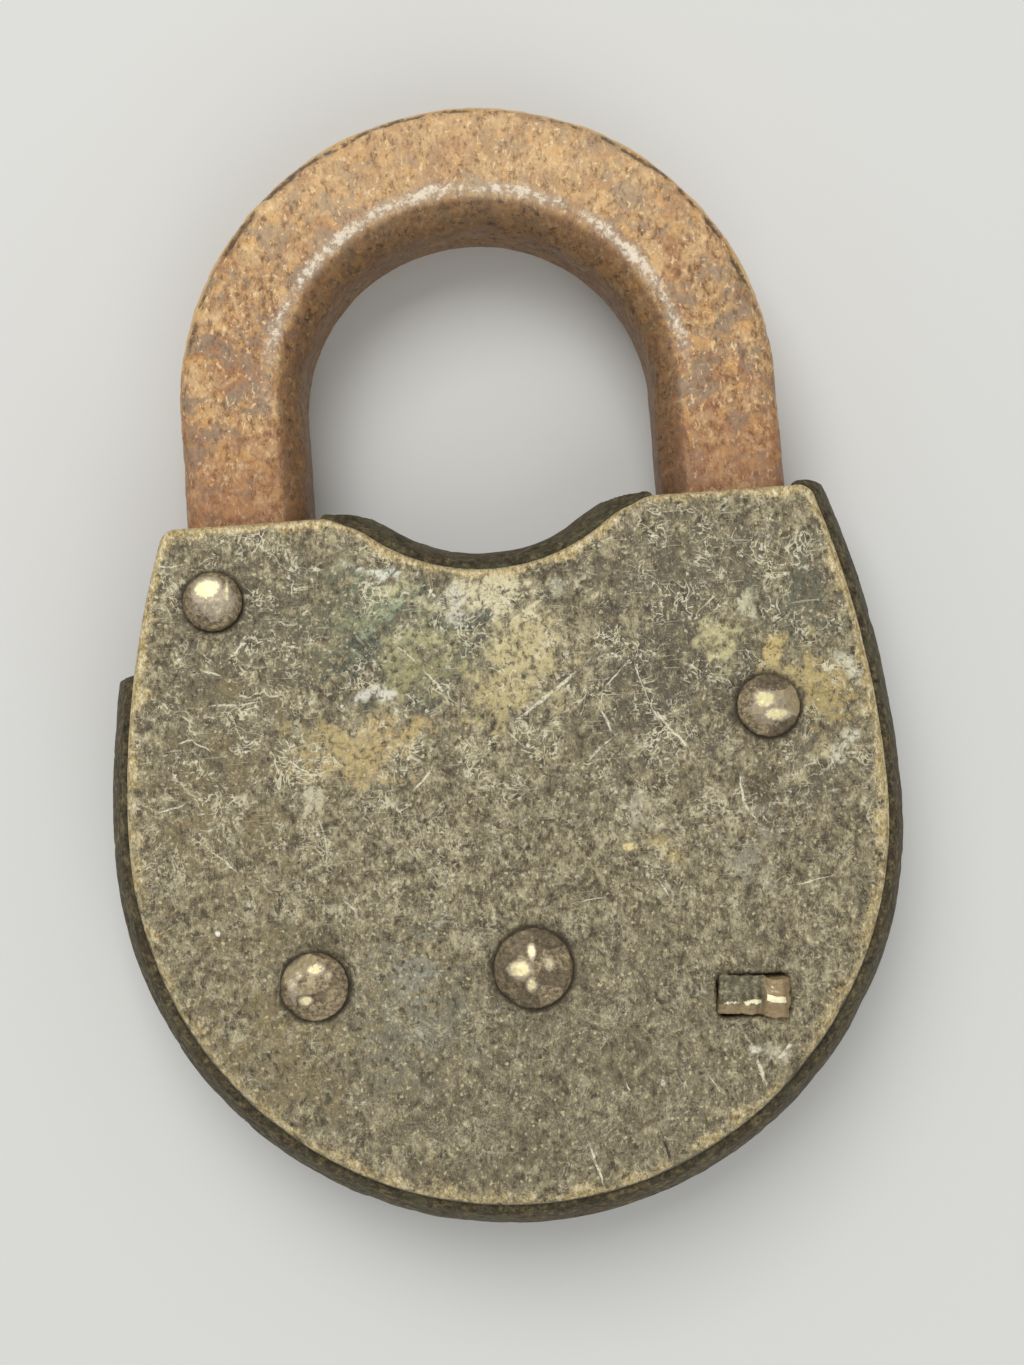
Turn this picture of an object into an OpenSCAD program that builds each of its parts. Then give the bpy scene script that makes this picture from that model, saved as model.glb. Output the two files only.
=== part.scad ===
// Lever padlock with a shackle that swings out on one leg, lying on its front face.
// +X points right, +Y towards the shackle and +Z out of the back plate.
// The origin is the centre of the body's round lower edge, on the front face.

/* [Body outline] */
// Radius of the back plate's round lower edge
body_r = 35.4; // [32:0.1:43]
// Radius of the long arcs that form the plate's two sides
side_r = 91.6; // [80:0.1:130]
// Height of the plate's flat shoulders above the origin
shoulder_y = 29.4; // [27:0.1:36]
// Half width of the notch between the shoulders
notch_half = 13.4; // [11:0.1:14]
// Depth of the notch below the shoulders
notch_depth = 5.9; // [4:0.1:7.2]

/* [Case casting] */
// Height at which the back plate sits on the case's rim
seat_z = 14.8; // [13:0.1:18]
// Thickness of the case's front
front_t = 2.2; // [1.6:0.1:3]
// How far the rim reaches out past the back plate
ledge = 0.8; // [0.4:0.1:1.4]
// How far the wall bulges past the back plate's outline at half depth
bulge = 2.7; // [1.6:0.1:3.6]
// How far the wall reaches in past the back plate's outline
wall_in = 1.2; // [1:0.1:1.4]
// Drop of the side window's lower end below the shoulders
window_drop = 13.3; // [12.6:0.1:15]
// Gap between a leg's inner edge and its hole
leg_gap = 0.95; // [0.9:0.05:1.2]
// Thickness of the ribs that guide the bolt
rib_t = 1.6; // [1:0.1:2]
// Height of those ribs above the front
rib_h = 7.4; // [4:0.1:8]
// Gap between the key pin and the round of the keyhole
keyhole_gap = 1.5; // [1.2:0.1:2]
// Width of the keyhole's slot
keyhole_w = 2.4; // [2:0.1:3]
// How far the keyhole's slot reaches past the belly of the levers
keyhole_reach = 1.6; // [0.5:0.1:3]

/* [Back plate] */
// Thickness of the back plate
plate_t = 1.6; // [1.2:0.1:2.2]

/* [Shackle] */
// Width of the bar, seen from the back
bar_w = 11.9; // [10:0.1:12.6]
// Thickness of the bar
bar_t = 11.4; // [9.6:0.1:11.6]
// Radius of the bar's inner edges
bar_in_r = 3.6; // [2:0.1:4.4]
// Radius of the bar's outer edges
bar_out_r = 1.8; // [0.8:0.1:3]
// Distance from the shoulder's corner in to the leg's outer edge
leg_inset = 1.8; // [1.5:0.1:2.2]
// Height of the arch's centre above the shoulders
arch_rise = 11.4; // [6:0.1:20]
// Depth of the toe inside the body
toe_depth = 16.2; // [13.5:0.1:17.2]
// Chamfer on the toe's lower outer corner
toe_chamfer = 2.4; // [2:0.1:3.4]
// Depth of the notch that the bolt enters
latch_depth = 4.4; // [3.6:0.1:5]
// Height of the notch that the bolt enters
latch_h = 4; // [3.4:0.1:4.6]
// Drop of that notch's middle below the shoulders
latch_drop = 11.9; // [11:0.1:12.4]

/* [Pins and posts] */
// Distance from the leg's outer edge in to the shackle's pivot
pivot_inset = 2.55; // [2.2:0.05:3.2]
// Drop of the pivot below the shoulders
pivot_drop = 7.2; // [6.6:0.1:7.8]
// Radius of the pivot
pivot_r = 2.4; // [2:0.1:2.8]
// Radius of the eye around the pivot
eye_r = 5.4; // [4.6:0.1:5.6]
// Radius of the stop post under the toe
stop_r = 4.2; // [3.4:0.1:4.6]
// Distance of the lever post in from the plate's round edge
post_in = 11.75; // [10.5:0.05:13]
// Direction of the lever post from the origin, in degrees
post_a = 216.6; // [214:0.1:219]
// Radius of the lever post
post_r = 1.8; // [1.5:0.1:2.2]
// Distance of the key pin up from the lowest point of the plate
key_up = 21.5; // [19:0.1:23]
// Sideways place of the key pin
key_x = 1.2; // [-1:0.1:2]
// Radius of the key pin
key_r = 1.5; // [1.2:0.1:1.8]
// Distance of the lever rest in from the plate's round edge
rest_in = 7.7; // [7:0.1:9]
// Direction of the lever rest from the origin, in degrees
rest_a = -40; // [-43:0.5:-38]
// Width of the tab that holds the lever rest in the plate
tab_w = 6.5; // [4:0.1:7]
// Height of that tab
tab_h = 3.5; // [2:0.1:4.5]
// How far that tab stands proud of the back plate
tab_proud = 1.1; // [0.6:0.1:1.6]
// Radius and height of the shackle pivot's peened head
pivot_head = [2.9, 1.5]; // [1:0.05:5]
// Radius and height of the stop post's peened head
stop_head = [3.05, 1.6]; // [1:0.05:5]
// Radius and height of the lever post's peened head
post_head = [3.25, 1.7]; // [1:0.05:5]
// Radius and height of the key pin's peened head
key_head = [3.8, 1.9]; // [1:0.05:5]

/* [Bolt] */
// How far the bolt travels
throw = 4.6; // [4:0.1:5]
// Thickness of the bolt's plate
bolt_t = 2.4; // [2:0.1:2.6]
// Width of the bolt's arm
arm_w = 4.8; // [3.6:0.1:5.6]
// Radius of the stump that passes through the levers
stump_r = 1.1; // [0.9:0.05:1.3]
// Height of the stump above the key pin
stump_up = 12.9; // [12.4:0.1:14]
// Distance of the stump to the right of the key pin
stump_dx = 3; // [2.4:0.1:3.6]
// Gap between the shackle and the nose of the drawn bolt
nose_gap = 0.55; // [0.4:0.05:0.8]
// Distance from the stump back to the stud that guides the bolt's tail
guide_dx = 7.7; // [7.2:0.1:8.4]
// Radius of that stud
guide_r = 1.4; // [1:0.1:1.6]

/* [Levers] */
// Gap between one lever and the next
lever_gap = 0.15; // [0.1:0.05:0.3]
// Height of the lever's top edge above the stump
lever_top = 5.2; // [4.6:0.1:6]
// Radius of the belly that the key turns under
belly_r = 6; // [5:0.1:6.4]
// Angle of each lever's lift, from dropped to its gate
lever_lift = [1.9, 2.8, 2.2, 3.2, 2.5, 1.7];
// Thickness of the lever springs
spring_t = 0.45; // [0.3:0.05:0.6]

/* [Fits] */
// Clearance of a pin in a hole where it is riveted fast
fast_fit = 0.02; // [0.01:0.01:0.03]
// Clearance of a pin in a hole that turns on it
turn_fit = 0.08; // [0.04:0.01:0.1]
// Clearance between pieces that slide past each other
slide_fit = 0.3; // [0.2:0.05:0.4]
// Clearance between pieces that bear on each other
bear_fit = 0.1; // [0.05:0.05:0.15]

/* [Hidden] */

LEVERS = len(lever_lift);
BRASS = "#7d6a3c";
PLATE = "#7a6c50";
RUST = "#8a6448";
STEEL = "#6b5f55";
PIN = "#b89a58";
FAR = 120;
$fn = 64;
ARC_FN = 240;

// heights
back_z = seat_z + plate_t;
bar_z = (front_t + seat_z - bar_t) / 2;
bolt_z = front_t + slide_fit;
lever_z = bolt_z + bolt_t + slide_fit;
lever_pitch = (seat_z - slide_fit - lever_z) / LEVERS;
lever_t = lever_pitch - lever_gap;

// outline
side_cx = side_r - body_r;
shoulder_half = sqrt(side_r * side_r - shoulder_y * shoulder_y) - side_cx;
notch_r = (notch_half * notch_half + notch_depth * notch_depth) / (2 * notch_depth);
notch_cy = shoulder_y - notch_depth + notch_r;
sag = bulge - ledge;
wall_r = (seat_z * seat_z / 4 + sag * sag) / (2 * sag);

// shackle
leg_out = shoulder_half - leg_inset;
leg_in = leg_out - bar_w;
leg_hole = leg_in - leg_gap;
arch_cy = shoulder_y + arch_rise;
toe_y = shoulder_y - toe_depth;
latch_y = shoulder_y - latch_drop;
pivot = [-(leg_out - pivot_inset), shoulder_y - pivot_drop];
heel_r = bar_w - pivot_inset - slide_fit;
window_y = shoulder_y - window_drop;

// posts
stop = [leg_out - stop_r + slide_fit, toe_y - slide_fit - stop_r];
stop_shank = 2.2;
post = (body_r - post_in) * [cos(post_a), sin(post_a)];
key = [key_x, key_up - body_r];
key_shank = 2.2;
rest = (body_r - rest_in) * [cos(rest_a), sin(rest_a)];
rest_w = tab_w + 1.6;
rest_h = tab_h + 2.9;
rest_top = rest.y + rest_h / 2;

// bolt
stump = key + [stump_dx, stump_up];
nose_h = latch_h - 2 * slide_fit;
nose_x = leg_in - nose_gap;
arm_x = stump.x - 0.8;
guide = stump - [guide_dx, 0.8];

// levers
tip_x = rest.x - 1.2;
boss_r = 4.4;
window_half = stump_r + slide_fit;
spring_root = post + [7.4, 5.4];
spring_tip = (body_r - wall_in) * [cos(170), sin(170)];
spring_r = 42;

function unit(v) = v / norm(v);
function bow_centre(a, b, r) =
    (a + b) / 2 + sqrt(r * r - norm(b - a) * norm(b - a) / 4) * unit([a.y - b.y, b.x - a.x]);

module turn_about(at, angle) {
    translate(at) rotate(angle) translate(-at) children();
}

// ---- the body's outline, moved out by d ----

module sides_2d(d, top) {
    intersection() {
        translate([-side_cx, 0]) circle(side_r + d, $fn = ARC_FN);
        translate([side_cx, 0]) circle(side_r + d, $fn = ARC_FN);
        translate([-FAR / 2, 0]) square([FAR, top]);
    }
}

module blank_2d(d) {
    intersection() {
        circle(body_r + d, $fn = ARC_FN);
        translate([-FAR / 2, -FAR]) square([FAR, FAR]);
    }
    sides_2d(d, shoulder_y + d);
}

module notch_2d(d) {
    translate([0, notch_cy]) circle(notch_r - d, $fn = ARC_FN);
}

// ---- case ----

module drum(r, cx) {
    rim = r + bulge - wall_r;
    translate([cx, 0, 0]) rotate_extrude($fn = ARC_FN) {
        square([rim, seat_z]);
        intersection() {
            translate([rim, seat_z / 2]) circle(wall_r, $fn = ARC_FN);
            square([r + bulge + 1, seat_z]);
        }
    }
}

module notch_cutter() {
    lip = notch_r - ledge;
    translate([0, notch_cy, 0]) rotate_extrude($fn = ARC_FN) {
        difference() {
            translate([0, -1]) square([lip, seat_z + 2]);
            translate([notch_r - bulge + wall_r, seat_z / 2]) circle(wall_r, $fn = ARC_FN);
        }
    }
}

module case_block() {
    difference() {
        union() {
            intersection() {
                drum(body_r, 0);
                translate([-FAR / 2, -FAR, 0]) cube([FAR, FAR, FAR]);
            }
            intersection() {
                drum(side_r, -side_cx);
                drum(side_r, side_cx);
                translate([-FAR / 2, 0, 0]) cube([FAR, shoulder_y + ledge, FAR]);
            }
        }
        notch_cutter();
    }
}

module cavity_2d() {
    difference() {
        blank_2d(-wall_in);
        notch_2d(-wall_in);
    }
    intersection() {
        sides_2d(-wall_in, FAR);
        translate([leg_hole, 0]) square([FAR, FAR]);
    }
    translate([-FAR, window_y]) square([FAR - leg_hole, FAR]);
}

module keyhole_2d() {
    slot_h = belly_r + keyhole_reach;
    translate(key) circle(key_r + keyhole_gap);
    translate(key - [keyhole_w / 2, slot_h]) square([keyhole_w, slot_h]);
}

module ribs() {
    upper_y = latch_y + nose_h / 2 + slide_fit;
    lower_y = latch_y - nose_h / 2 - slide_fit - rib_t;
    lower_x = arm_x + arm_w + throw + slide_fit;
    rib_end = leg_hole - 0.4;
    boss_r = eye_r - 1;
    translate([arm_x, upper_y, front_t]) cube([rib_end - arm_x, rib_t, rib_h]);
    translate([lower_x, lower_y, front_t]) cube([rib_end - lower_x, rib_t, rib_h]);
    translate([guide.x, guide.y, front_t]) cylinder(r = guide_r, h = bolt_t + slide_fit);
    translate([pivot.x, pivot.y, front_t]) cylinder(r = boss_r, h = bar_z - bear_fit - front_t);
}

module case() {
    color(BRASS) difference() {
        union() {
            difference() {
                case_block();
                translate([0, 0, front_t]) linear_extrude(FAR) cavity_2d();
            }
            ribs();
        }
        translate([0, 0, -1]) linear_extrude(front_t + 2) keyhole_2d();
        translate([pivot.x, pivot.y, -1]) cylinder(r = pivot_r + fast_fit, h = FAR);
        translate([stop.x, stop.y, -1]) cylinder(r = stop_shank + fast_fit, h = FAR);
        translate([post.x, post.y, -1]) cylinder(r = post_r + fast_fit, h = FAR);
    }
}

// ---- back plate ----

module tab_2d(gap) {
    translate(rest) square([tab_w + 2 * gap, tab_h + 2 * gap], center = true);
}

module back_plate() {
    color(PLATE) translate([0, 0, seat_z]) linear_extrude(plate_t) difference() {
        blank_2d(0);
        notch_2d(0);
        translate(pivot) circle(pivot_r + fast_fit);
        translate(stop) circle(stop_shank + fast_fit);
        translate(post) circle(post_r + fast_fit);
        translate(key) circle(key_shank + fast_fit);
        tab_2d(fast_fit);
    }
}

// ---- pins and posts, each peened over the back plate ----

module peened_head(at, head) {
    r = head[0];
    h = head[1];
    ball = (r * r + h * h) / (2 * h);
    translate([at.x, at.y, back_z]) intersection() {
        translate([0, 0, h - ball]) sphere(ball, $fn = 96);
        cylinder(r = r + 1, h = h + 1);
    }
}

module shackle_pivot() {
    color(PIN) {
        translate([pivot.x, pivot.y, 0]) cylinder(r = pivot_r, h = back_z);
        peened_head(pivot, pivot_head);
    }
}

module stop_post() {
    color(PIN) {
        translate([stop.x, stop.y, 0]) cylinder(r = stop_shank, h = back_z);
        translate([stop.x, stop.y, front_t]) cylinder(r = stop_r, h = seat_z - front_t);
        peened_head(stop, stop_head);
    }
}

module lever_post() {
    collar = 1.2;
    color(PIN) {
        translate([post.x, post.y, 0]) cylinder(r = post_r, h = back_z);
        translate([post.x, post.y, front_t])
            cylinder(r = post_r + collar, h = lever_z - bear_fit - front_t);
        peened_head(post, post_head);
    }
}

module key_pin() {
    tip_z = 0.5;
    collar = 0.8;
    collar_t = 1.2;
    color(PIN) {
        translate([key.x, key.y, tip_z]) cylinder(r = key_r, h = back_z - tip_z);
        translate([key.x, key.y, seat_z - collar_t]) cylinder(r = key_shank + collar, h = collar_t);
        translate([key.x, key.y, seat_z]) cylinder(r = key_shank, h = plate_t);
        peened_head(key, key_head);
    }
}

module lever_rest() {
    color(PIN) {
        translate([rest.x - rest_w / 2, rest.y - rest_h / 2, front_t])
            cube([rest_w, rest_h, seat_z - front_t]);
        translate([0, 0, seat_z]) linear_extrude(plate_t + tab_proud) tab_2d(0);
    }
}

// ---- shackle ----

module bar_2d() {
    for (edge = [[bar_in_r, bar_in_r], [bar_w - bar_out_r, bar_out_r]]) {
        translate(edge) circle(edge[1]);
        translate([edge[0], bar_t - edge[1]]) circle(edge[1]);
    }
    translate([bar_in_r, 0]) square([bar_w - bar_in_r - bar_out_r, bar_t]);
    translate([0, bar_in_r]) square([bar_in_r, bar_t - 2 * bar_in_r]);
    translate([bar_w - bar_out_r, bar_out_r]) square([bar_out_r, bar_t - 2 * bar_out_r]);
}

module leg(bottom) {
    translate([leg_in, arch_cy, 0]) rotate([90, 0, 0]) linear_extrude(arch_cy - bottom) bar_2d();
}

module toe_cuts() {
    linear_extrude(bar_t + 2) {
        polygon([
            [leg_out - toe_chamfer, toe_y],
            [leg_out + 1, toe_y + toe_chamfer + 1],
            [leg_out + 1, toe_y - 1],
            [leg_out - toe_chamfer, toe_y - 1],
        ]);
        translate([leg_in - 1, latch_y - latch_h / 2]) square([latch_depth + 1, latch_h]);
    }
}

module shackle() {
    color(RUST) translate([0, 0, bar_z]) difference() {
        union() {
            intersection() {
                translate([0, arch_cy, 0]) rotate_extrude($fn = ARC_FN) translate([leg_in, 0]) bar_2d();
                translate([-FAR / 2, arch_cy, -1]) cube([FAR, FAR, FAR]);
            }
            leg(toe_y);
            mirror([1, 0, 0]) leg(pivot.y);
            linear_extrude(bar_t) {
                translate(pivot) circle(eye_r);
                intersection() {
                    translate(pivot) circle(heel_r);
                    translate([pivot.x, pivot.y - FAR]) square([FAR, FAR]);
                }
            }
        }
        translate([pivot.x, pivot.y, -1]) cylinder(r = pivot_r + turn_fit, h = bar_t + 2);
        translate([0, 0, -1]) toe_cuts();
    }
}

// ---- bolt ----

module bolt() {
    tail_wall = 2.2;
    tail_x = guide.x - guide_r - throw - tail_wall;
    tail_y = key.y + belly_r - 0.6;
    tail_top = stump.y + 2.5;
    slot_half = guide_r + slide_fit - bear_fit;
    talon = [3.6, 2];
    talon_x = key.x - talon[0] / 2 - 0.6;
    nose_y = latch_y - nose_h / 2;
    color(STEEL) {
        translate([0, 0, bolt_z]) linear_extrude(bolt_t) difference() {
            union() {
                translate([tail_x, tail_y]) square([arm_x + arm_w - tail_x, tail_top - tail_y]);
                translate([arm_x, tail_y]) square([arm_w, nose_y + nose_h - tail_y]);
                translate([arm_x, nose_y]) square([nose_x - arm_x, nose_h]);
            }
            translate([guide.x - throw, guide.y - slot_half]) square([throw, 2 * slot_half]);
            translate(guide) circle(slot_half);
            translate([guide.x - throw, guide.y]) circle(slot_half);
            translate([talon_x, tail_y - 1]) square([talon[0], talon[1] + 1]);
        }
        translate([arm_x, nose_y, bolt_z]) cube([nose_x - arm_x, nose_h, bar_t - 2 * slide_fit]);
        translate([stump.x, stump.y, bolt_z])
            cylinder(r = stump_r, h = seat_z - slide_fit - bolt_z);
    }
}

// ---- levers: drawn dropped on the rest, then lifted until the gate meets the stump ----

module lever_blank() {
    foot_y = rest_top + bear_fit;
    top_y = stump.y + lever_top;
    difference() {
        union() {
            translate(post) cylinder(r = boss_r, h = lever_t);
            linear_extrude(lever_t) polygon([
                post + [-3.1, 3.1],
                post + [5.4, 11.6],
                [stump.x - 5, top_y],
                [tip_x, top_y],
                [tip_x, foot_y],
                [tip_x - 5.5, foot_y],
                [tip_x - 7, stump.y - 6],
                [key.x + 3, stump.y - 7.2],
                [key.x - 8.6, key.y + 3.6],
                post + [2.8, -3.4],
            ]);
        }
        translate([key.x, key.y, -1]) cylinder(r = belly_r, h = lever_t + 2);
    }
}

module window_2d(lift) {
    translate(stump - [0, window_half]) square([throw, 2 * window_half]);
    for (x = [0, throw], a = [0, lift])
        turn_about(post, a)
            translate(stump + [x - window_half, -window_half])
            square([2 * window_half, 2 * window_half]);
}

module spring_2d(grow, root_over) {
    centre = bow_centre(spring_root, spring_tip, spring_r);
    root = spring_root + root_over * unit(spring_root - spring_tip);
    intersection() {
        difference() {
            translate(centre) circle(spring_r + spring_t / 2 + grow, $fn = ARC_FN);
            translate(centre) circle(spring_r - spring_t / 2 - grow, $fn = ARC_FN);
        }
        polygon([centre, centre + 1.2 * (root - centre), centre + 1.2 * (spring_tip - centre)]);
        circle(body_r - wall_in - bear_fit, $fn = ARC_FN);
    }
}

module lever(i) {
    color(STEEL) translate([0, 0, lever_z + i * lever_pitch]) difference() {
        turn_about(post, lever_lift[i]) lever_blank();
        translate([0, 0, -1]) linear_extrude(lever_t + 2) {
            translate(post) circle(post_r + turn_fit);
            window_2d(lever_lift[i]);
            spring_2d(bear_fit / 2, bear_fit);
        }
    }
}

module lever_spring(i) {
    inset = 0.1;
    color(PIN) translate([0, 0, lever_z + i * lever_pitch + inset])
        linear_extrude(lever_t - 2 * inset)
        spring_2d(0, 0);
}

case();
back_plate();
shackle();
shackle_pivot();
stop_post();
lever_post();
key_pin();
lever_rest();
bolt();
for (i = [0 : LEVERS - 1]) {
    lever(i);
    lever_spring(i);
}
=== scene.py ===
# %% [markdown]
# # An old lever padlock, worn, patinated and rusty
# The lock's construction arrives as a fixed frame: every piece at its real size, in metres, lying on its
# front face with the back plate up. Blender adds what a maker would call the finish. Thick pieces could be
# left as exact solids with a bumpy material, but years in pockets and drawers change the form too, so each
# large piece is rebuilt as a dense skin that can be worn, dented and pitted.

# %% Load the frame
import math

import bmesh
import bpy
import numpy as np
from mathutils import Matrix, Vector, noise


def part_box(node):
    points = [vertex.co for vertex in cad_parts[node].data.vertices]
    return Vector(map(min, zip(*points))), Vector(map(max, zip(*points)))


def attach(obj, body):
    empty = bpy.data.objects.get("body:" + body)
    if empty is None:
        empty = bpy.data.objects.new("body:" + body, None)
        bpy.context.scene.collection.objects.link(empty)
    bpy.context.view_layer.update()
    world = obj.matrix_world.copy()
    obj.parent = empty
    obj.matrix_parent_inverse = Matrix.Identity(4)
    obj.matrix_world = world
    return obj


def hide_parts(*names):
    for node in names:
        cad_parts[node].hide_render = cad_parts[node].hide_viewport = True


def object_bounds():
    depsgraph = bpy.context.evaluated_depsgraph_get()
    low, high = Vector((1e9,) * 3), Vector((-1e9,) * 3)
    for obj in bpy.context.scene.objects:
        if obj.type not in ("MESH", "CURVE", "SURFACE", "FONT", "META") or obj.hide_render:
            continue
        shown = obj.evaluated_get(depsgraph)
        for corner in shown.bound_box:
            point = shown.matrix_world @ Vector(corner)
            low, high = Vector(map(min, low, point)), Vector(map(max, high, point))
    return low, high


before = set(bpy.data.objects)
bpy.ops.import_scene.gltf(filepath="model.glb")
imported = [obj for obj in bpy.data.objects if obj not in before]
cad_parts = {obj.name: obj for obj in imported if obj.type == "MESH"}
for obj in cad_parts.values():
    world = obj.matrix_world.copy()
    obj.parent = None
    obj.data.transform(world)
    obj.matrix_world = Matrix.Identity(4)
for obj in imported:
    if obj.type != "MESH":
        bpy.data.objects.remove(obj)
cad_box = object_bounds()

MM = 0.001
print("size in mm:", [round(side / MM, 1) for side in cad_box[1] - cad_box[0]])

# %% [markdown]
# ## The studio
# A lock lies flat, so it is seen from almost straight above and from about 20 cm, as by someone bending
# over a table. The camera could look straight down, but a few degrees of tilt and roll show the thickness
# of the lower wall. A large soft lamp stands on the shackle's side and a weaker one opposite, and a pale
# sky fills the shadows, so a colour renders about as it is written.

# %% Camera
def new_object(name, data):
    """A new object, put into the scene."""
    made = bpy.data.objects.new(name, data)
    bpy.context.scene.collection.objects.link(made)
    return made


EYE = Vector((-1.1, -5.05, 206.6)) * MM
TILT, YAW, ROLL = math.radians(5.3), math.radians(-0.68), math.radians(4.18)
LENS, SENSOR = 54, 36

camera_data = bpy.data.cameras.new("camera")
camera_data.lens = LENS
camera_data.sensor_width = SENSOR
camera_data.clip_start = 0.01
camera = new_object("camera", camera_data)
turn = Matrix.Rotation(TILT, 3, "X") @ Matrix.Rotation(YAW, 3, "Y") @ Matrix.Rotation(-ROLL, 3, "Z")
camera.matrix_world = Matrix.Translation(EYE) @ turn.to_4x4()
bpy.context.scene.camera = camera
bpy.context.scene.view_settings.view_transform = "Standard"
print("camera", [round(value / MM) for value in EYE], "mm from the origin")

# %% Lamps, sky and floor
def srgb(code):
    """Turn a written hex colour into the linear RGBA that Blender works in."""
    values = [int(code[i:i + 2], 16) / 255 for i in (1, 3, 5)]
    return [v / 12.92 if v <= 0.04045 else ((v + 0.055) / 1.055) ** 2.4 for v in values] + [1]


def add(tree, kind, inputs=None, stops=(), **settings):
    """Add one node: its properties, its values or what feeds it, and a ramp's colours.

    What feeds it is a socket of another node, or that node itself for its first output.
    """
    node = tree.nodes.new(kind)
    for name, value in settings.items():
        setattr(node, name, value)
    for _ in stops[2:]:
        node.color_ramp.elements.new(0.5)
    for i, (place, colour) in enumerate(stops):
        node.color_ramp.elements[i].position = place
        node.color_ramp.elements[i].color = srgb(colour)
    for key, value in (inputs or {}).items():
        value = value.outputs[0] if isinstance(value, bpy.types.Node) else value
        if isinstance(value, bpy.types.NodeSocket):
            tree.links.new(value, node.inputs[key])
        else:
            node.inputs[key].default_value = value
    return node


def soft_lamp(name, place, aim, side, power):
    """Hang a square soft box at a place, facing the aim."""
    data = bpy.data.lights.new(name, "AREA")
    data.shape, data.size, data.energy = "SQUARE", side, power
    lamp = new_object(name, data)
    facing = (Vector(aim) - Vector(place)).to_track_quat("-Z", "Y")
    lamp.matrix_world = Matrix.Translation(Vector(place)) @ facing.to_matrix().to_4x4()


middle = (cad_box[0] + cad_box[1]) / 2
soft_lamp("overhead_box", (-0.12, 0.34, 0.6), middle, 0.45, 2.5)
soft_lamp("low_fill", (0.12, -0.42, 0.5), middle, 0.45, 1.0)

sky = bpy.data.worlds.new("studio_sky")
bpy.context.scene.world = sky
sky.use_nodes = True
sky.node_tree.nodes["Background"].inputs["Color"].default_value = srgb("#f4f4f2")
sky.node_tree.nodes["Background"].inputs["Strength"].default_value = 0.5

FLOOR_HALF, FLOOR_DROP = 1.5, 0.02 * MM
floor_mesh = bpy.data.meshes.new("floor")
corners = [(x, y, -FLOOR_DROP) for x, y in ((-1, -1), (1, -1), (1, 1), (-1, 1))]
floor_mesh.from_pydata([(FLOOR_HALF * x, FLOOR_HALF * y, z) for x, y, z in corners], [], [(0, 1, 2, 3)])
floor = new_object("floor", floor_mesh)

# Matt painted board: pale, nearly white, with no shine of its own.
board = bpy.data.materials.new("painted_board")
board.use_nodes = True
board.node_tree.nodes["Principled BSDF"].inputs["Base Color"].default_value = srgb("#dcdcd9")
board.node_tree.nodes["Principled BSDF"].inputs["Roughness"].default_value = 0.9
floor_mesh.materials.append(board)
print("floor", 2 * FLOOR_HALF, "m wide")

# %% [markdown]
# ## Shared helpers for the worn skins
# A worn piece starts as a copy of its solid, is cut into even small squares by a voxel remesh, and is then
# worn with distance fields. A field says how deep inside the worn form a point lies. Points that the field
# puts outside are pressed back onto its surface, which rounds an edge by any radius, also one that changes
# along the edge as real wear does. A bevel modifier could round edges too, but only evenly.

# %% Read the outline's driving sizes from the frame
plate_low, plate_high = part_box("back_plate")
case_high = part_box("case")[1]
BODY_R = plate_high.x / MM
SHOULDER_Y = plate_high.y / MM
SEAT_Z = plate_low.z / MM
BACK_Z = plate_high.z / MM
BULGE = case_high.x / MM - BODY_R
SIDE_R = 91.6
NOTCH_HALF, NOTCH_DEPTH = 13.4, 5.9
LEDGE = 0.8
# Each side is a long arc from the shoulder to the round end, and the notch is an arc of its own.
SIDE_CX = SIDE_R - BODY_R
NOTCH_R = (NOTCH_HALF ** 2 + NOTCH_DEPTH ** 2) / (2 * NOTCH_DEPTH)
NOTCH_CY = SHOULDER_Y - NOTCH_DEPTH + NOTCH_R
print(f"round end {BODY_R:.1f}, shoulders {SHOULDER_Y:.1f}, plate {SEAT_Z:.1f} to {BACK_Z:.1f} mm")


def centre_of(node):
    """Where a pin or post stands, in mm."""
    low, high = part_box(node)
    return np.array((low + high) / 2 / MM)


# %% Distance fields
def rounded(a, b, radius):
    """Depth inside the edge where two faces meet, with the edge rounded."""
    corner = radius - np.hypot(np.maximum(radius - a, 0), np.maximum(radius - b, 0))
    return np.where((a < radius) & (b < radius), corner, np.minimum(a, b))


def outline_depth(points, grow=0.0, corner=1.0):
    """How far inside the body's outline points lie, with its plan corners rounded."""
    x, y = points[:, 0], points[:, 1]
    round_end = BODY_R + grow - np.hypot(x, y)
    side = SIDE_R + grow - np.hypot(np.abs(x) + SIDE_CX, y)
    shoulders = SHOULDER_Y + grow - y
    notch = np.hypot(x, y - NOTCH_CY) - (NOTCH_R - grow)
    body = rounded(np.where(y < 0, round_end, side), shoulders, corner)
    return rounded(body, notch, 2 * corner)


def slope(field, points, step=0.02):
    """The direction in which a field grows fastest, at each point."""
    rises = [field(points + axis) - field(points - axis) for axis in np.eye(3) * step]
    gradient = np.stack(rises, 1)
    return gradient / np.maximum(np.linalg.norm(gradient, axis=1, keepdims=True), 1e-9)


def press_inside(points, field):
    """Move points that lie outside a field's form onto its surface."""
    for _ in range(3):
        outside = np.maximum(-field(points), 0)
        points = points + slope(field, points) * outside[:, None]
    return points


def bumps(points, size, octaves, seed):
    """Smooth random heights of about -1 to 1, with hollows and hills about size mm wide."""
    shift = Vector((seed * 17.3, seed * 5.1, seed * 9.7))
    scaled = points / size
    return np.array([noise.fractal(Vector(p) + shift, 1.0, 2.1, octaves) for p in scaled])


def fade(values, start, end):
    """0 at start, 1 at end, smooth between."""
    t = np.clip((values - start) / (end - start), 0, 1)
    return t * t * (3 - 2 * t)


def near(values, place, width):
    """1 where a value is at a place, falling softly to 0 over about a width."""
    return np.exp(-((values - place) / width) ** 2)


# %% Mesh helpers
WELD = 0.002


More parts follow.
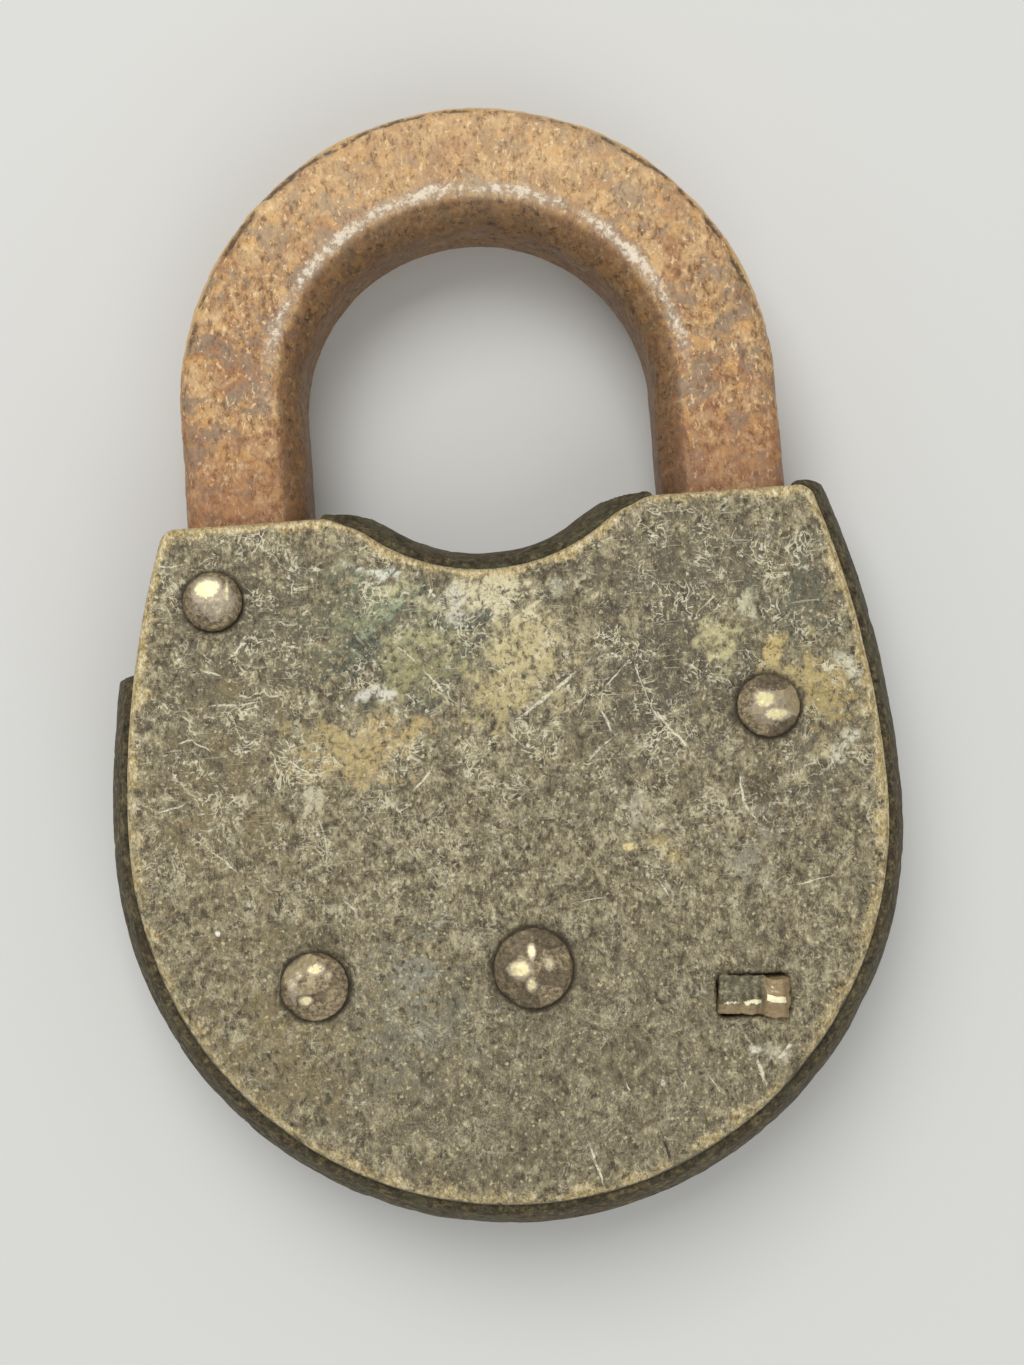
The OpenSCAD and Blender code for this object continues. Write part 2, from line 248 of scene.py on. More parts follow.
def solid_copy(node, name):
    """A new object with a copy of a solid's mesh, its loose triangles merged."""
    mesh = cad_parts[node].data.copy()
    mesh.name = name
    mesh.materials.clear()
    work = bmesh.new()
    work.from_mesh(mesh)
    bmesh.ops.remove_doubles(work, verts=work.verts, dist=WELD * MM)
    work.to_mesh(mesh)
    work.free()
    return new_object(name, mesh)


def topped(piece, level, axis, top):
    """Cut a piece off at a level in mm along an axis, close the cut, and put another mesh on it."""
    work = bmesh.new()
    work.from_mesh(piece.data)
    parts = work.verts[:] + work.edges[:] + work.faces[:]
    place = Vector(axis) * level * MM
    cut = bmesh.ops.bisect_plane(work, geom=parts, plane_co=place, plane_no=axis, clear_outer=True)
    rim = [part for part in cut["geom_cut"] if isinstance(part, bmesh.types.BMEdge)]
    bmesh.ops.holes_fill(work, edges=rim)
    work.from_mesh(top)
    bmesh.ops.recalc_face_normals(work, faces=work.faces)
    work.to_mesh(piece.data)
    work.free()


def made_mesh(piece):
    """The plain mesh that an object makes with its modifiers."""
    bpy.context.view_layer.update()
    evaluated = piece.evaluated_get(bpy.context.evaluated_depsgraph_get())
    return bpy.data.meshes.new_from_object(evaluated)


def dense_skin(piece, voxel):
    """Remesh a piece into even squares of voxel mm, lightly smoothed."""
    remesh = piece.modifiers.new("remesh", "REMESH")
    remesh.mode = "VOXEL"
    remesh.voxel_size = voxel * MM
    smooth = piece.modifiers.new("smooth", "SMOOTH")
    smooth.factor = 0.5
    smooth.iterations = 2
    mesh = made_mesh(piece)
    piece.modifiers.clear()
    piece.data = mesh
    return piece


def read_points(piece, what="co"):
    """The mesh's points in mm, or its normals with what="normal"."""
    values = np.empty(len(piece.data.vertices) * 3, np.float32)
    piece.data.vertices.foreach_get(what, values)
    values = values.reshape(-1, 3).astype(float)
    return values / MM if what == "co" else values


def write_points(piece, points):
    """Put points given in mm back into the mesh."""
    piece.data.vertices.foreach_set("co", (points * MM).astype(np.float32).ravel())
    piece.data.update()


def write_mask(piece, name, values):
    """Store one number per point, for the material to read."""
    layer = piece.data.attributes.new(name, "FLOAT", "POINT")
    layer.data.foreach_set("value", np.clip(values, 0, 1).astype(np.float32))


def finished(piece, body, slot, material, *nodes):
    """Hand a piece over: smooth shading, its material, its body and the solids it stands for."""
    piece.data.materials.clear()
    piece.data.materials.append(material)
    piece.data.shade_smooth()
    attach(piece, body)
    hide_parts(*nodes)
    triangles = sum(len(face.vertices) - 2 for face in piece.data.polygons)
    print(f"{piece.name}: {triangles} triangles")


# %% [markdown]
# ## Finish of the back plate: sheet brass under a century of patina
# Brass plate starts golden and browns in air: first olive, then grey-brown. Handling rubs the edges back to
# gold, salts leave green and ochre stains, and every knock leaves a pale scratch. One noise could mottle the
# whole plate, but the eye reads separate layers, so the material stacks them in the order they happened:
# patina, stains, pale flecks and scratches, then rubbed edges, then grime, with painted shade on the fall of
# the edge. Scratches are drawn by the material itself. Stains, grime with painted shade, and wear are stored
# in the mesh, because dozens of stains are too many for one shader.
# Every size is in millimetres, and a grain finer than the eye can part is drawn just coarse enough to show.

# %% Material helpers
def new_finish(name, roughness, metallic):
    """An empty finish: its material, tree and shader, and the point on the piece in mm."""
    material = bpy.data.materials.new(name)
    material.use_nodes = True
    tree = material.node_tree
    shader = tree.nodes["Principled BSDF"]
    shader.inputs["Roughness"].default_value = roughness
    shader.inputs["Metallic"].default_value = metallic
    where = add(tree, "ShaderNodeTexCoord").outputs["Object"]
    spot = add(tree, "ShaderNodeVectorMath", {0: where, 3: 1 / MM}, operation="SCALE")
    return material, tree, shader, spot


def grain(tree, spot, size, detail=4.0, stretch=(1, 1, 1), turn=0.0, warp=0.0, harsh=0.6):
    """Random values around 0.5 in spots about size mm wide; a stretch below 1 draws them out."""
    lie = {"Vector": spot, "Rotation": (0, 0, math.radians(turn)), "Scale": stretch}
    turned = add(tree, "ShaderNodeMapping", lie)
    settings = {"Vector": turned, "Scale": 1 / size, "Detail": detail, "Roughness": harsh, "Distortion": warp}
    return add(tree, "ShaderNodeTexNoise", settings).outputs["Fac"]


def coat(tree, base, colour, value, low, high, most=1.0, within=None):
    """Lay a colour over the base where a value goes from low to high; within limits it to a mask."""
    settings = {"Value": value, "From Min": low, "From Max": high, "To Max": most}
    mask = add(tree, "ShaderNodeMapRange", settings, interpolation_type="SMOOTHSTEP")
    if within is not None:
        mask = add(tree, "ShaderNodeMath", {0: mask, 1: within}, operation="MULTIPLY")
    over = colour if isinstance(colour, bpy.types.NodeSocket) else srgb(colour)
    return add(tree, "ShaderNodeMix", {0: mask, 6: base, 7: over}, data_type="RGBA").outputs[2]


def coats(tree, base, layers):
    """Lay coats one over another: each row holds what coat takes after the base."""
    for layer in layers:
        base = coat(tree, base, *layer)
    return base


def roughened(tree, mask, breaker, amount):
    """A mask with its edge broken by a noise."""
    shift = add(tree, "ShaderNodeMath", {0: breaker, 1: 2 * amount, 2: -amount}, operation="MULTIPLY_ADD")
    return add(tree, "ShaderNodeMath", {0: mask, 1: shift}, operation="ADD")


def wandered(tree, spot, size, reach):
    """The same point pushed aside by a noise, so that what is drawn there bends instead of running true."""
    lie = {"Vector": spot, "Scale": 1 / size, "Detail": 3.0}
    push = add(tree, "ShaderNodeTexNoise", lie).outputs["Color"]
    push = add(tree, "ShaderNodeVectorMath", {0: push, 1: (0.5, 0.5, 0.5)}, operation="SUBTRACT")
    push = add(tree, "ShaderNodeVectorMath", {0: push, 3: 2 * reach}, operation="SCALE")
    return add(tree, "ShaderNodeVectorMath", {0: spot, 1: push}, operation="ADD")


def specks(tree, spot, spacing, size, share):
    """A mask of small separate flecks about size mm wide, in a share of the cells of a random pattern."""
    bent = wandered(tree, spot, 0.3, 0.28)
    cells = add(tree, "ShaderNodeTexVoronoi", {"Vector": bent, "Scale": 1 / spacing})
    chance = add(tree, "ShaderNodeSeparateColor", {0: cells.outputs["Color"]})
    chosen = add(tree, "ShaderNodeMath", {0: chance, 1: share}, operation="LESS_THAN")
    core = {"Value": cells.outputs["Distance"], "From Min": 0.5 * size / spacing,
            "From Max": 0.2 * size / spacing}
    core = add(tree, "ShaderNodeMapRange", core)
    return add(tree, "ShaderNodeMath", {0: core, 1: chosen}, operation="MULTIPLY")


def marked(tree, base, spot, ragged, gaps, marks):
    """Lay marks over the base: each has a place, half sizes in mm, a turn, a colour and two strengths."""
    any_height = 1000
    for place, size, turn, colour, strength, raggedness in marks:
        lie = {"Vector": spot, "Location": (*place, 0), "Rotation": (0, 0, math.radians(turn)),
               "Scale": (*size, any_height)}
        inside = add(tree, "ShaderNodeMapping", lie, vector_type="TEXTURE")
        reach = add(tree, "ShaderNodeVectorMath", {0: inside}, operation="LENGTH")
        edge = roughened(tree, reach.outputs["Value"], ragged, 2 * raggedness)
        base = coat(tree, base, colour, edge, 1.15, 0.65, strength, gaps)
    return base


def veins(tree, spot, size, width):
    """A mask of thin crooked lines: they run where a noise crosses its middle value."""
    noise_value = grain(tree, spot, size, 2.5, warp=1.2)
    off = add(tree, "ShaderNodeMath", {0: noise_value, 1: 0.5}, operation="SUBTRACT")
    off = add(tree, "ShaderNodeMath", {0: off}, operation="ABSOLUTE")
    settings = {"Value": off, "From Min": width, "From Max": 0.2 * width}
    return add(tree, "ShaderNodeMapRange", settings)


def dressed(tree, shader, colour, height, depth, **ranges):
    """Wire a finish up: colour, bumps of a depth in mm, and each socket that follows a value in a range."""
    tree.links.new(colour, shader.inputs["Base Color"])
    bump = add(tree, "ShaderNodeBump", {"Height": height, "Distance": depth * MM})
    tree.links.new(bump.outputs[0], shader.inputs["Normal"])
    for socket, (value, low, high, at_low, at_high) in ranges.items():
        span = {"Value": value, "From Min": low, "From Max": high, "To Min": at_low, "To Max": at_high}
        tree.links.new(add(tree, "ShaderNodeMapRange", span).outputs[0], shader.inputs[socket])


# %% Marks on the plate
# Small marks: place, half sizes in mm, turn in degrees, colour, strength, raggedness.
SMALL_MARKS = [
    ((-27.5, -8.7), (0.25, 0.4), 20, "#fbf6e4", 1.0, 0.5),
    ((12.3, -25.2), (0.3, 0.5), 0, "#f7f2de", 0.95, 0.9),
    ((12.2, -31.4), (0.15, 1.1), 15, "#2c2418", 0.9, 0.6),
    ((19.0, -27.3), (1.0, 0.2), -15, "#3b3325", 0.8, 0.8),
    ((20.9, -23.0), (1.1, 0.9), 0, "#f2ecd6", 1.0, 2.0),
    ((10.9, -3.4), (0.7, 0.35), 0, "#f2dfa0", 0.9, 1.2),
]
# Scratches are long thin marks: start, end and half width in mm.
SCRATCHES = [
    ((1.4, 8.9), (8.8, 14.4), 0.14), ((9.9, 11.7), (11.9, 13.6), 0.10), ((9.0, 9.9), (10.3, 7.1), 0.12),
    ((10.3, 7.1), (7.6, 4.8), 0.12), ((12.3, 14.4), (14.2, 9.0), 0.07), ((14.2, 9.0), (17.8, 4.3), 0.13),
    ((-6.6, 13.9), (-4.8, 11.6), 0.09), ((-9.2, 16.7), (-7.6, 15.0), 0.10),
    ((-13.0, 18.2), (-12.2, 17.1), 0.14), ((-8.4, 3.5), (-7.0, 4.9), 0.09),
    ((-20.7, 7.2), (-18.3, 5.5), 0.08), ((-27.2, 12.4), (-21.7, 12.6), 0.07),
    ((-27.7, 15.9), (-25.4, 15.0), 0.10), ((-24.8, 16.7), (-23.0, 19.4), 0.09),
    ((-31.9, 13.6), (-30.5, 12.0), 0.11), ((-30.6, 9.2), (-28.9, 9.5), 0.09),
    ((-28.9, 9.5), (-27.1, 7.9), 0.08), ((-31.2, 25.8), (-29.0, 25.9), 0.08),
    ((21.7, 1.9), (21.8, 0.2), 0.10), ((21.8, 0.2), (23.2, -2.4), 0.11), ((24.4, -8.3), (29.7, -7.5), 0.08),
    ((13.3, -6.6), (14.4, -8.6), 0.09), ((4.6, -8.4), (8.2, -7.9), 0.06),
    ((-28.0, -0.9), (-24.7, -3.6), 0.05), ((-32.8, 2.9), (-29.6, 3.5), 0.09),
    ((-17.6, 2.1), (-17.0, -2.8), 0.06), ((-15.7, -6.5), (-14.8, -7.6), 0.09),
    ((-22.0, -12.2), (-22.5, -15.5), 0.06), ((8.8, -24.8), (9.4, -25.9), 0.07),
    ((14.5, -24.7), (14.1, -26.1), 0.07), ((16.5, -24.7), (17.9, -26.7), 0.08),
    ((5.3, -30.9), (6.1, -33.8), 0.11), ((19.7, -20.4), (20.9, -22.8), 0.22),
    ((20.9, -22.8), (21.6, -25.6), 0.2), ((22.7, -24.1), (24.8, -22.0), 0.18),
]
scratch_marks = []
for start, end, width in SCRATCHES:
    run = Vector(end) - Vector(start)
    place = (Vector(start) + Vector(end)) / 2
    turn = math.degrees(math.atan2(run.y, run.x))
    scratch_marks.append((place, (run.length / 2, width), turn, "#f0ead0", 0.9, 1.8))
print(len(SMALL_MARKS), "small marks,", len(SCRATCHES), "scratches")

# %% Patinated brass plate
# Rolled sheet brass, browned by air and hands: dull and grainy, olive to grey, gleaming only where it is
# rubbed. Real patina grain is finer than a tenth of a millimetre; this one is drawn about 0.4 mm wide.
plate_finish, tree, shader, spot = new_finish("patinated_brass_plate", 0.5, 0.3)
worn, grime_and_shade = [add(tree, "ShaderNodeAttribute", attribute_name=name).outputs["Fac"]
               for name in ("worn", "grime_and_shade")]
fine = grain(tree, spot, 0.36, 6, (1, 0.55, 1), 14, harsh=0.85)
medium = grain(tree, spot, 1.5, 6, warp=0.6, harsh=0.72)
mottle = add(tree, "ShaderNodeMix", {0: 0.45, 2: fine, 3: medium})
coarse = grain(tree, spot, 2.6, 4, warp=0.9)
crumbs = grain(tree, spot, 0.75, 7, warp=0.5, harsh=0.82)
ragged = add(tree, "ShaderNodeMix", {0: 0.5, 2: coarse, 3: crumbs})
colour = add(tree, "ShaderNodeValToRGB", {0: mottle}, stops=[
    (0.38, "#433a2a"), (0.47, "#746950"), (0.53, "#968b6e"), (0.63, "#c9be9a")]).outputs["Color"]
gaps = {"Value": crumbs, "From Min": 0.43, "From Max": 0.52, "To Min": 0.15, "To Max": 1.0}
gaps = add(tree, "ShaderNodeMapRange", gaps)
bloom = add(tree, "ShaderNodeAttribute", attribute_name="bloom").outputs
stained = roughened(tree, bloom["Alpha"], crumbs, 0.9)
# Patina, then the stains, then grain over them, so that none is a flat tint.
colour = coats(tree, colour, [
    ("#544b38", medium, 0.47, 0.34, 0.6),
    ("#b6ab88", medium, 0.55, 0.68, 0.5),
    (bloom["Color"], stained, 0.1, 0.75, 1.0, gaps),
    ("#362f22", fine, 0.46, 0.36, 0.7),
    ("#e2d7ac", fine, 0.56, 0.67, 0.75),
    ("#3e3728", crumbs, 0.45, 0.35, 0.8),
    ("#dfd3a4", crumbs, 0.56, 0.67, 0.75)])
# Pale flecks and crooked veins in clusters, more of them in the upper half, where lime has dried.
upper = add(tree, "ShaderNodeSeparateXYZ", {0: spot}).outputs["Y"]
upper = {"Value": upper, "From Min": -12, "From Max": 8, "To Min": 0.35, "To Max": 1.0}
upper = add(tree, "ShaderNodeMapRange", upper)
clusters = {"Value": grain(tree, spot, 4.2, 4, harsh=0.7), "From Min": 0.47, "From Max": 0.58}
clusters = add(tree, "ShaderNodeMapRange", clusters)
clusters = add(tree, "ShaderNodeMath", {0: clusters, 1: upper}, operation="MULTIPLY")
colour = coats(tree, colour, [
    ("#ece6cd", grain(tree, spot, 0.7, 3, warp=1.5), 0.6, 0.65, 0.8, clusters),
    ("#ddd1a8", specks(tree, spot, 0.7, 0.4, 0.35), 0.1, 0.9, 0.7),
    ("#f0ead6", specks(tree, spot, 1.0, 0.5, 0.5), 0.2, 0.8, 0.8, clusters),
    ("#332c20", specks(tree, spot, 1.1, 0.6, 0.5), 0.2, 0.8, 0.6)])
for size, width, shift in ((2.3, 0.028, 0), (4.5, 0.013, 40)):
    moved = add(tree, "ShaderNodeVectorMath", {0: spot, 1: (shift, shift, shift)}, operation="ADD")
    lines = roughened(tree, veins(tree, moved, size, width), crumbs, 0.9)
    colour = coat(tree, colour, "#e4dcbc", lines, 0.35, 0.8, 0.75, clusters)
# Hairlines in two directions: noise drawn out into threads.
for turn in (52, -33):
    threads = grain(tree, spot, 0.22, 1, (0.07, 1, 1), turn)
    colour = coat(tree, colour, "#d8d0ae", threads, 0.7, 0.75, 0.4, upper)
bent = wandered(tree, spot, 1.8, 0.45)
colour = marked(tree, colour, bent, ragged, gaps, SMALL_MARKS + scratch_marks)
# Rubbed edges show bright brass; grime fills the rims round the rivets, and the fall of the edge is darkened
# as painted shade.
edge = roughened(tree, worn, ragged, 1.6)
gold = add(tree, "ShaderNodeValToRGB", {0: fine}, stops=[
    (0.38, "#8f7748"), (0.5, "#cdb884"), (0.62, "#f6eccb")]).outputs["Color"]
colour = coats(tree, colour, [(gold, edge, 0.25, 0.65, 0.9), ("#352b1a", grime_and_shade, 0.0, 1.0)])
dressed(tree, shader, colour, mottle, 0.16, Metallic=(edge, 0.25, 0.65, 0.25, 0.6),
        Roughness=(fine, 0.35, 0.65, 0.62, 0.42))
print("plate finish:", len(tree.nodes), "nodes")

# %% [markdown]
# ## The back plate
# On the real lock this is a piece of rolled brass sheet, sawn to the outline, dropped onto the case and held
# by four peened pins. Its edge is worn round, most of all at the bottom, where the lock swung against its
# door. Hammering the pins dished the sheet a little round each head. The saw's outline and the wear are one
# distance field; dents, dishes and scratches are added as heights.

# %% Wear and dent the plate
PLATE_VOXEL = 0.31
SCRATCH_CUT, SCRATCH_HALF = 0.06, 0.22
GHOST, GHOST_R = (6.6, 21.6), 1.75
TAB_HALF, TAB_GAP = (3.25, 1.75), 0.05
# The radius of each pin's hammered head, in mm.
HEADS = {"shackle_pivot": 2.9, "stop_post": 3.05, "lever_post": 3.25, "key_pin": 3.8}


def line_distance(points, start, end):
    """Distance in plan from each point to a line between two places."""
    start, along = np.array(start), np.subtract(end, start)
    flat = points[:, :2] - start
    t = np.clip(flat @ along / (along @ along), 0, 1)
    return np.linalg.norm(flat - t[:, None] * along, axis=1)


back_plate = dense_skin(solid_copy("back_plate", "back_plate_worn"), PLATE_VOXEL)
points = read_points(back_plate)
low_half = fade(points[:, 1], 12, -18)
edge_wear = 0.55 + 0.75 * low_half + 0.2 * bumps(points, 6, 2, 1) + 0.08 * bumps(points, 1.2, 2, 2)
edge_wear = np.clip(edge_wear, 0.3, 1.5)


def plate_form(places):
    """The plate with its outline sawn and its upper edge worn to a changing radius."""
    return rounded(outline_depth(places), BACK_Z - places[:, 2], edge_wear)


points = press_inside(points, plate_form)
write_points(back_plate, points)
up = read_points(back_plate, "normal")[:, 2]
depth_in = outline_depth(points)
upper = fade(up, 0.2, 0.7)
# Each line is one kind of damage: how deep it goes in mm, and how wide it is.
height = 0.05 * bumps(points, 11, 2, 3) + 0.025 * bumps(points, 3.2, 3, 4) - 0.03
pits = np.maximum(bumps(points, 1.3, 3, 5) - 0.35, 0)
height -= 0.09 * pits
nicks = np.maximum(bumps(points, 1.6, 2, 6) - 0.1, 0) * fade(depth_in, 1.4, 0.2)
height -= 0.22 * nicks
grime_and_shade = np.zeros(len(points))
for node, radius in HEADS.items():
    x, y, _ = centre_of(node)
    out = np.hypot(points[:, 0] - x, points[:, 1] - y) - radius
    wobble = 0.18 * bumps(points, 1.2, 2, 7)
    height -= 0.16 * near(out, 0.15, 0.38) + 0.05 * near(out, 0, 1.8)
    grime_and_shade = np.maximum(grime_and_shade, near(np.maximum(out + wobble, 0), 0, 0.3) * 0.85)
    grime_and_shade = np.maximum(grime_and_shade, near(np.maximum(out + 2 * wobble, 0), 0, 0.9) * 0.35)
# A faint ring beside the notch, where something round once pressed on the sheet.
ghost = np.hypot(points[:, 0] - GHOST[0], points[:, 1] - GHOST[1])
height -= 0.07 * near(ghost, GHOST_R, 0.3)
height += 0.03 * fade(ghost, 1.6, 0.8)
for start, end, _ in SCRATCHES:
    height -= SCRATCH_CUT * near(line_distance(points, start, end), 0, SCRATCH_HALF)
points[:, 2] += np.minimum(height, BACK_Z - points[:, 2]) * upper
write_points(back_plate, points)

band = 1.5 + 0.9 * low_half + 0.7 * bumps(points, 3.0, 3, 8)
fall = BACK_Z - points[:, 2]
rubbed_and_highlit = np.clip(1 - depth_in / np.maximum(band, 0.5), 0, 1) * (1.0 - 0.3 * low_half) * fade(fall, 0.9, 0.4)
write_mask(back_plate, "worn", rubbed_and_highlit)
rest_x, rest_y, _ = centre_of("lever_rest")
from_tab = np.abs(points[:, :2] - (rest_x, rest_y)) - TAB_HALF - TAB_GAP
grime_and_shade = np.maximum(grime_and_shade, near(np.maximum(from_tab.max(axis=1), 0), 0, 0.3) * 0.5)
# The fall of the rounded edge is darkened as painted shade, where it turns away from the light.
grime_and_shade = np.maximum(grime_and_shade, fade(fall, 0.45, 1.0) * 0.85)
grime_and_shade = np.maximum(grime_and_shade, 0.55 * near(ghost, GHOST_R, 0.28))
write_mask(back_plate, "grime_and_shade", grime_and_shade)
print("the plate's fall at its edge:", round(float(fall.max()), 2), "mm")

# %% Stain the plate
# Each stain: place, half sizes in mm, turn in degrees, colour, strength, raggedness. Later ones lie on top.
STAINS = [
    ((-8, 17), (9, 7.5), 0, "#5e6656", 0.7, 1.3),
    ((-12.5, 20.5), (5, 4), 0, "#6f7a5f", 0.5, 1.5),
    ((-22, 20), (7, 6), 0, "#625a48", 0.6, 1.4),
    ((17, 12.5), (7.5, 6.5), 0, "#544d41", 0.75, 1.3),
    ((19.5, 21), (9, 5.5), 0, "#625a4a", 0.65, 1.4),
    ((-26, 10), (7, 9), 0, "#6a5f49", 0.5, 1.5),
    ((29.5, 17), (4, 5), 20, "#5f6556", 0.65, 1.3),
    ((28.8, 3.2), (4, 4.5), 0, "#5d5546", 0.7, 1.3),
    ((9, 3.5), (9, 5), 0, "#6a6150", 0.3, 1.4),
    ((-12.4, 7.5), (5.6, 3.2), 28, "#cdb47c", 0.85, 1.2),
    ((-16.5, 9.5), (3.2, 2.2), 0, "#c3b07c", 0.6, 1.6),
    ((2.6, 15.8), (3.6, 4.6), 0, "#d8c996", 0.9, 1.1),
    ((0.2, 12.2), (4.2, 2.8), 20, "#cbba85", 0.85, 1.3),
    ((-0.6, 21), (5.2, 2.6), 0, "#eadfb6", 0.9, 1.2),
    ((-7.5, 15.5), (3.6, 2.4), 40, "#b3ab78", 0.65, 1.7),
    ((-12, 18.5), (3.4, 1.6), 30, "#a8ac80", 0.55, 1.8),
    ((21, 15.6), (1.9, 1.7), 0, "#d6cc97", 0.85, 1.3),
    ((25.6, 13.8), (1.3, 1.2), 0, "#d8c07c", 0.9, 1.0),
    ((27.2, 11.9), (2.6, 1.2), -45, "#d5c084", 0.85, 1.1),
    ((30.6, 10.4), (2.6, 3.6), 15, "#bda76c", 0.85, 1.3),
    ((32.2, 12.8), (2.4, 0.7), -58, "#dfdcc4", 0.8, 1.0),
    ((31.6, 4.4), (1.5, 1.2), 0, "#dcd8bd", 0.95, 1.0),
    ((28.5, 3.6), (2.2, 0.8), 40, "#c9ba8d", 0.7, 1.5),
    ((23.8, -0.8), (1.6, 3.0), 8, "#55452c", 0.75, 0.9),
    ((23.7, 17.9), (1.4, 0.9), 0, "#ddd6b4", 0.8, 1.3),
    ((11.9, 0.9), (1.1, 1.3), 0, "#cfc6a8", 0.6, 1.7),
    ((-17.9, 3.0), (0.9, 1.4), 0, "#e0d8bb", 0.85, 1.3),
    ((-10.6, 23.4), (1.8, 0.6), -8, "#dfe0cc", 0.8, 1.3),
    ((-14, 15.5), (1.9, 1.4), 0, "#454a40", 0.6, 1.5),
    ((22.7, -23.7), (1.2, 0.8), 40, "#e6dfc4", 0.9, 1.4),
    ((22.3, -5.6), (2.6, 2.2), 0, "#bdb8a4", 0.5, 1.9),
    ((14, -4.1), (1.6, 0.9), -20, "#cdb77a", 0.7, 1.6),
    ((-11.5, -17), (5.5, 5.5), 0, "#98a096", 0.4, 1.8),
    ((-9.5, -13.2), (2, 1.8), 0, "#c3c6bb", 0.45, 1.9),
    ((-25, -8), (9, 14), 0, "#a5905e", 0.35, 1.6),
    ((0, -25), (32, 13), 0, "#6e644b", 0.42, 1.2),
    ((-22, -20), (8, 5), 40, "#9c885a", 0.35, 1.6),
    ((-6.9, 10.7), (1.7, 0.8), 5, "#4c4f46", 0.9, 0.5),
    ((6.6, 21.6), (1.5, 1.5), 0, "#8f8f80", 0.6, 1.0),
    ((-11.4, 17.7), (1.8, 1.4), 20, "#3f4a42", 0.9, 1.2),
    ((-15.3, 14.7), (2.2, 1.4), 30, "#42473c", 0.8, 1.3),
    ((-6.5, 22.2), (1.6, 1.0), 0, "#454f42", 0.9, 1.2),
    ((-3.3, 18.7), (1.3, 0.9), 0, "#434a40", 0.9, 1.2),
    ((-1.2, 18.0), (0.8, 1.1), 0, "#434a44", 0.9, 1.3),
    ((-12.1, 11.3), (0.9, 0.8), 0, "#46483e", 0.9, 0.9),
    ((-8.2, 17.4), (1.7, 0.9), 30, "#b5b083", 0.8, 2.2),
    ((-5.5, 16.7), (1.3, 0.7), 0, "#cbc190", 0.85, 2.0),
    ((-8.9, 22.4), (1.1, 0.8), 0, "#c3c092", 0.85, 2.0),
    ((-9.9, 19.2), (1.7, 0.9), 10, "#9fae8e", 0.8, 2.3),
    ((-7.1, 14.1), (2.3, 1.5), 20, "#a19a6c", 0.6, 2.2),
    ((-13.3, 25.1), (1.1, 0.9), 0, "#abaa80", 0.6, 2.0),
    ((-10.7, 23.5), (1.7, 0.5), -8, "#e9ebd8", 0.85, 2.0),
    ((-3.7, 20.1), (1.0, 1.3), 20, "#dfdbc8", 0.8, 2.2),
    ((-12.0, 12.6), (1.4, 0.5), -10, "#eae7d8", 0.85, 2.0),
]
PATINA = "#6f6652"


def mark_reach(points, place, size, turn):
    """How far each point lies from a stain's middle, in half sizes."""
    flat = points[:, :2] - np.array(place)
    cos, sin = math.cos(math.radians(turn)), math.sin(math.radians(turn))
    along, aside = flat[:, 0] * cos + flat[:, 1] * sin, flat[:, 1] * cos - flat[:, 0] * sin
    return np.hypot(along / size[0], aside / size[1])


fray = 0.5 * bumps(points, 2.6, 4, 41) + 0.5 * bumps(points, 0.9, 3, 42)
STRAY = 1.2
strayed = points + STRAY * np.stack([bumps(points, 3.5, 2, 43), bumps(points, 3.5, 2, 44), 0 * fray], 1)
bloom = np.tile(srgb(PATINA)[:3] + [0.0], (len(points), 1))
for place, size, turn, colour, strength, raggedness in STAINS:
    reach = mark_reach(strayed, place, size, turn) + 1.4 * raggedness * fray
    cover = strength * fade(reach, 1.2, 0.6)
    bloom[:, :3] += (np.array(srgb(colour)[:3]) - bloom[:, :3]) * cover[:, None]
    bloom[:, 3] += (1 - bloom[:, 3]) * cover
layer = back_plate.data.attributes.new("bloom", "FLOAT_COLOR", "POINT")
layer.data.foreach_set("color", bloom.astype(np.float32).ravel())
print("stains:", len(STAINS), "cover", round(float(bloom[:, 3].mean()), 2), "of the plate")
finished(back_plate, "lock_body", "plate_brass", plate_finish, "back_plate")

# %% [markdown]
# ## Finish and form of the case: sand-cast brass, never polished
# The case was poured in sand, and only its rim was filed flat for the plate. So the wall keeps a grainy
# skin that has gone dark brown. The bulge rubs on everything, which leaves fine lines along the wall and
# pale brass in ragged specks where it is widest. The exact solid would show a wall as smooth as turned
# metal, so the case gets a dense skin too, pressed into its own distance field.

# %% Dark cast brass
# Cast skin scatters light, so it looks nearly matt and dark; a gleam stays where it is rubbed. The pits
# that sand grains leave are about half a millimetre wide.
case_finish, tree, shader, spot = new_finish("dark_cast_brass", 0.72, 0.25)
skin = grain(tree, spot, 0.6, 5, harsh=0.75)
blotches = grain(tree, spot, 3.6, 5, warp=0.6)
along = grain(tree, spot, 0.4, 5, (0.25, 0.25, 1), harsh=0.75)
worn, grime_and_shade = [add(tree, "ShaderNodeAttribute", attribute_name=name).outputs["Fac"]
               for name in ("worn", "grime_and_shade")]
edge = roughened(tree, worn, grain(tree, spot, 1.6, 8, warp=0.4, harsh=0.85), 1.4)
colour = add(tree, "ShaderNodeValToRGB", {0: skin}, stops=[
    (0.36, "#272013"), (0.47, "#463e2a"), (0.55, "#594f37"), (0.66, "#84764f")]).outputs["Color"]
colour = coats(tree, colour, [
    ("#55563d", blotches, 0.54, 0.66, 0.55),
    ("#45331c", blotches, 0.46, 0.36, 0.6),
    ("#948254", along, 0.53, 0.66, 0.5),
    ("#2b2314", along, 0.46, 0.36, 0.5),
    ("#bda976", edge, 0.5, 0.95, 0.75),
    ("#211a0e", grime_and_shade, 0.0, 1.0)])
dressed(tree, shader, colour, skin, 0.15, Metallic=(edge, 0.5, 0.95, 0.25, 0.6))
print("cast brass:", len(tree.nodes), "nodes")

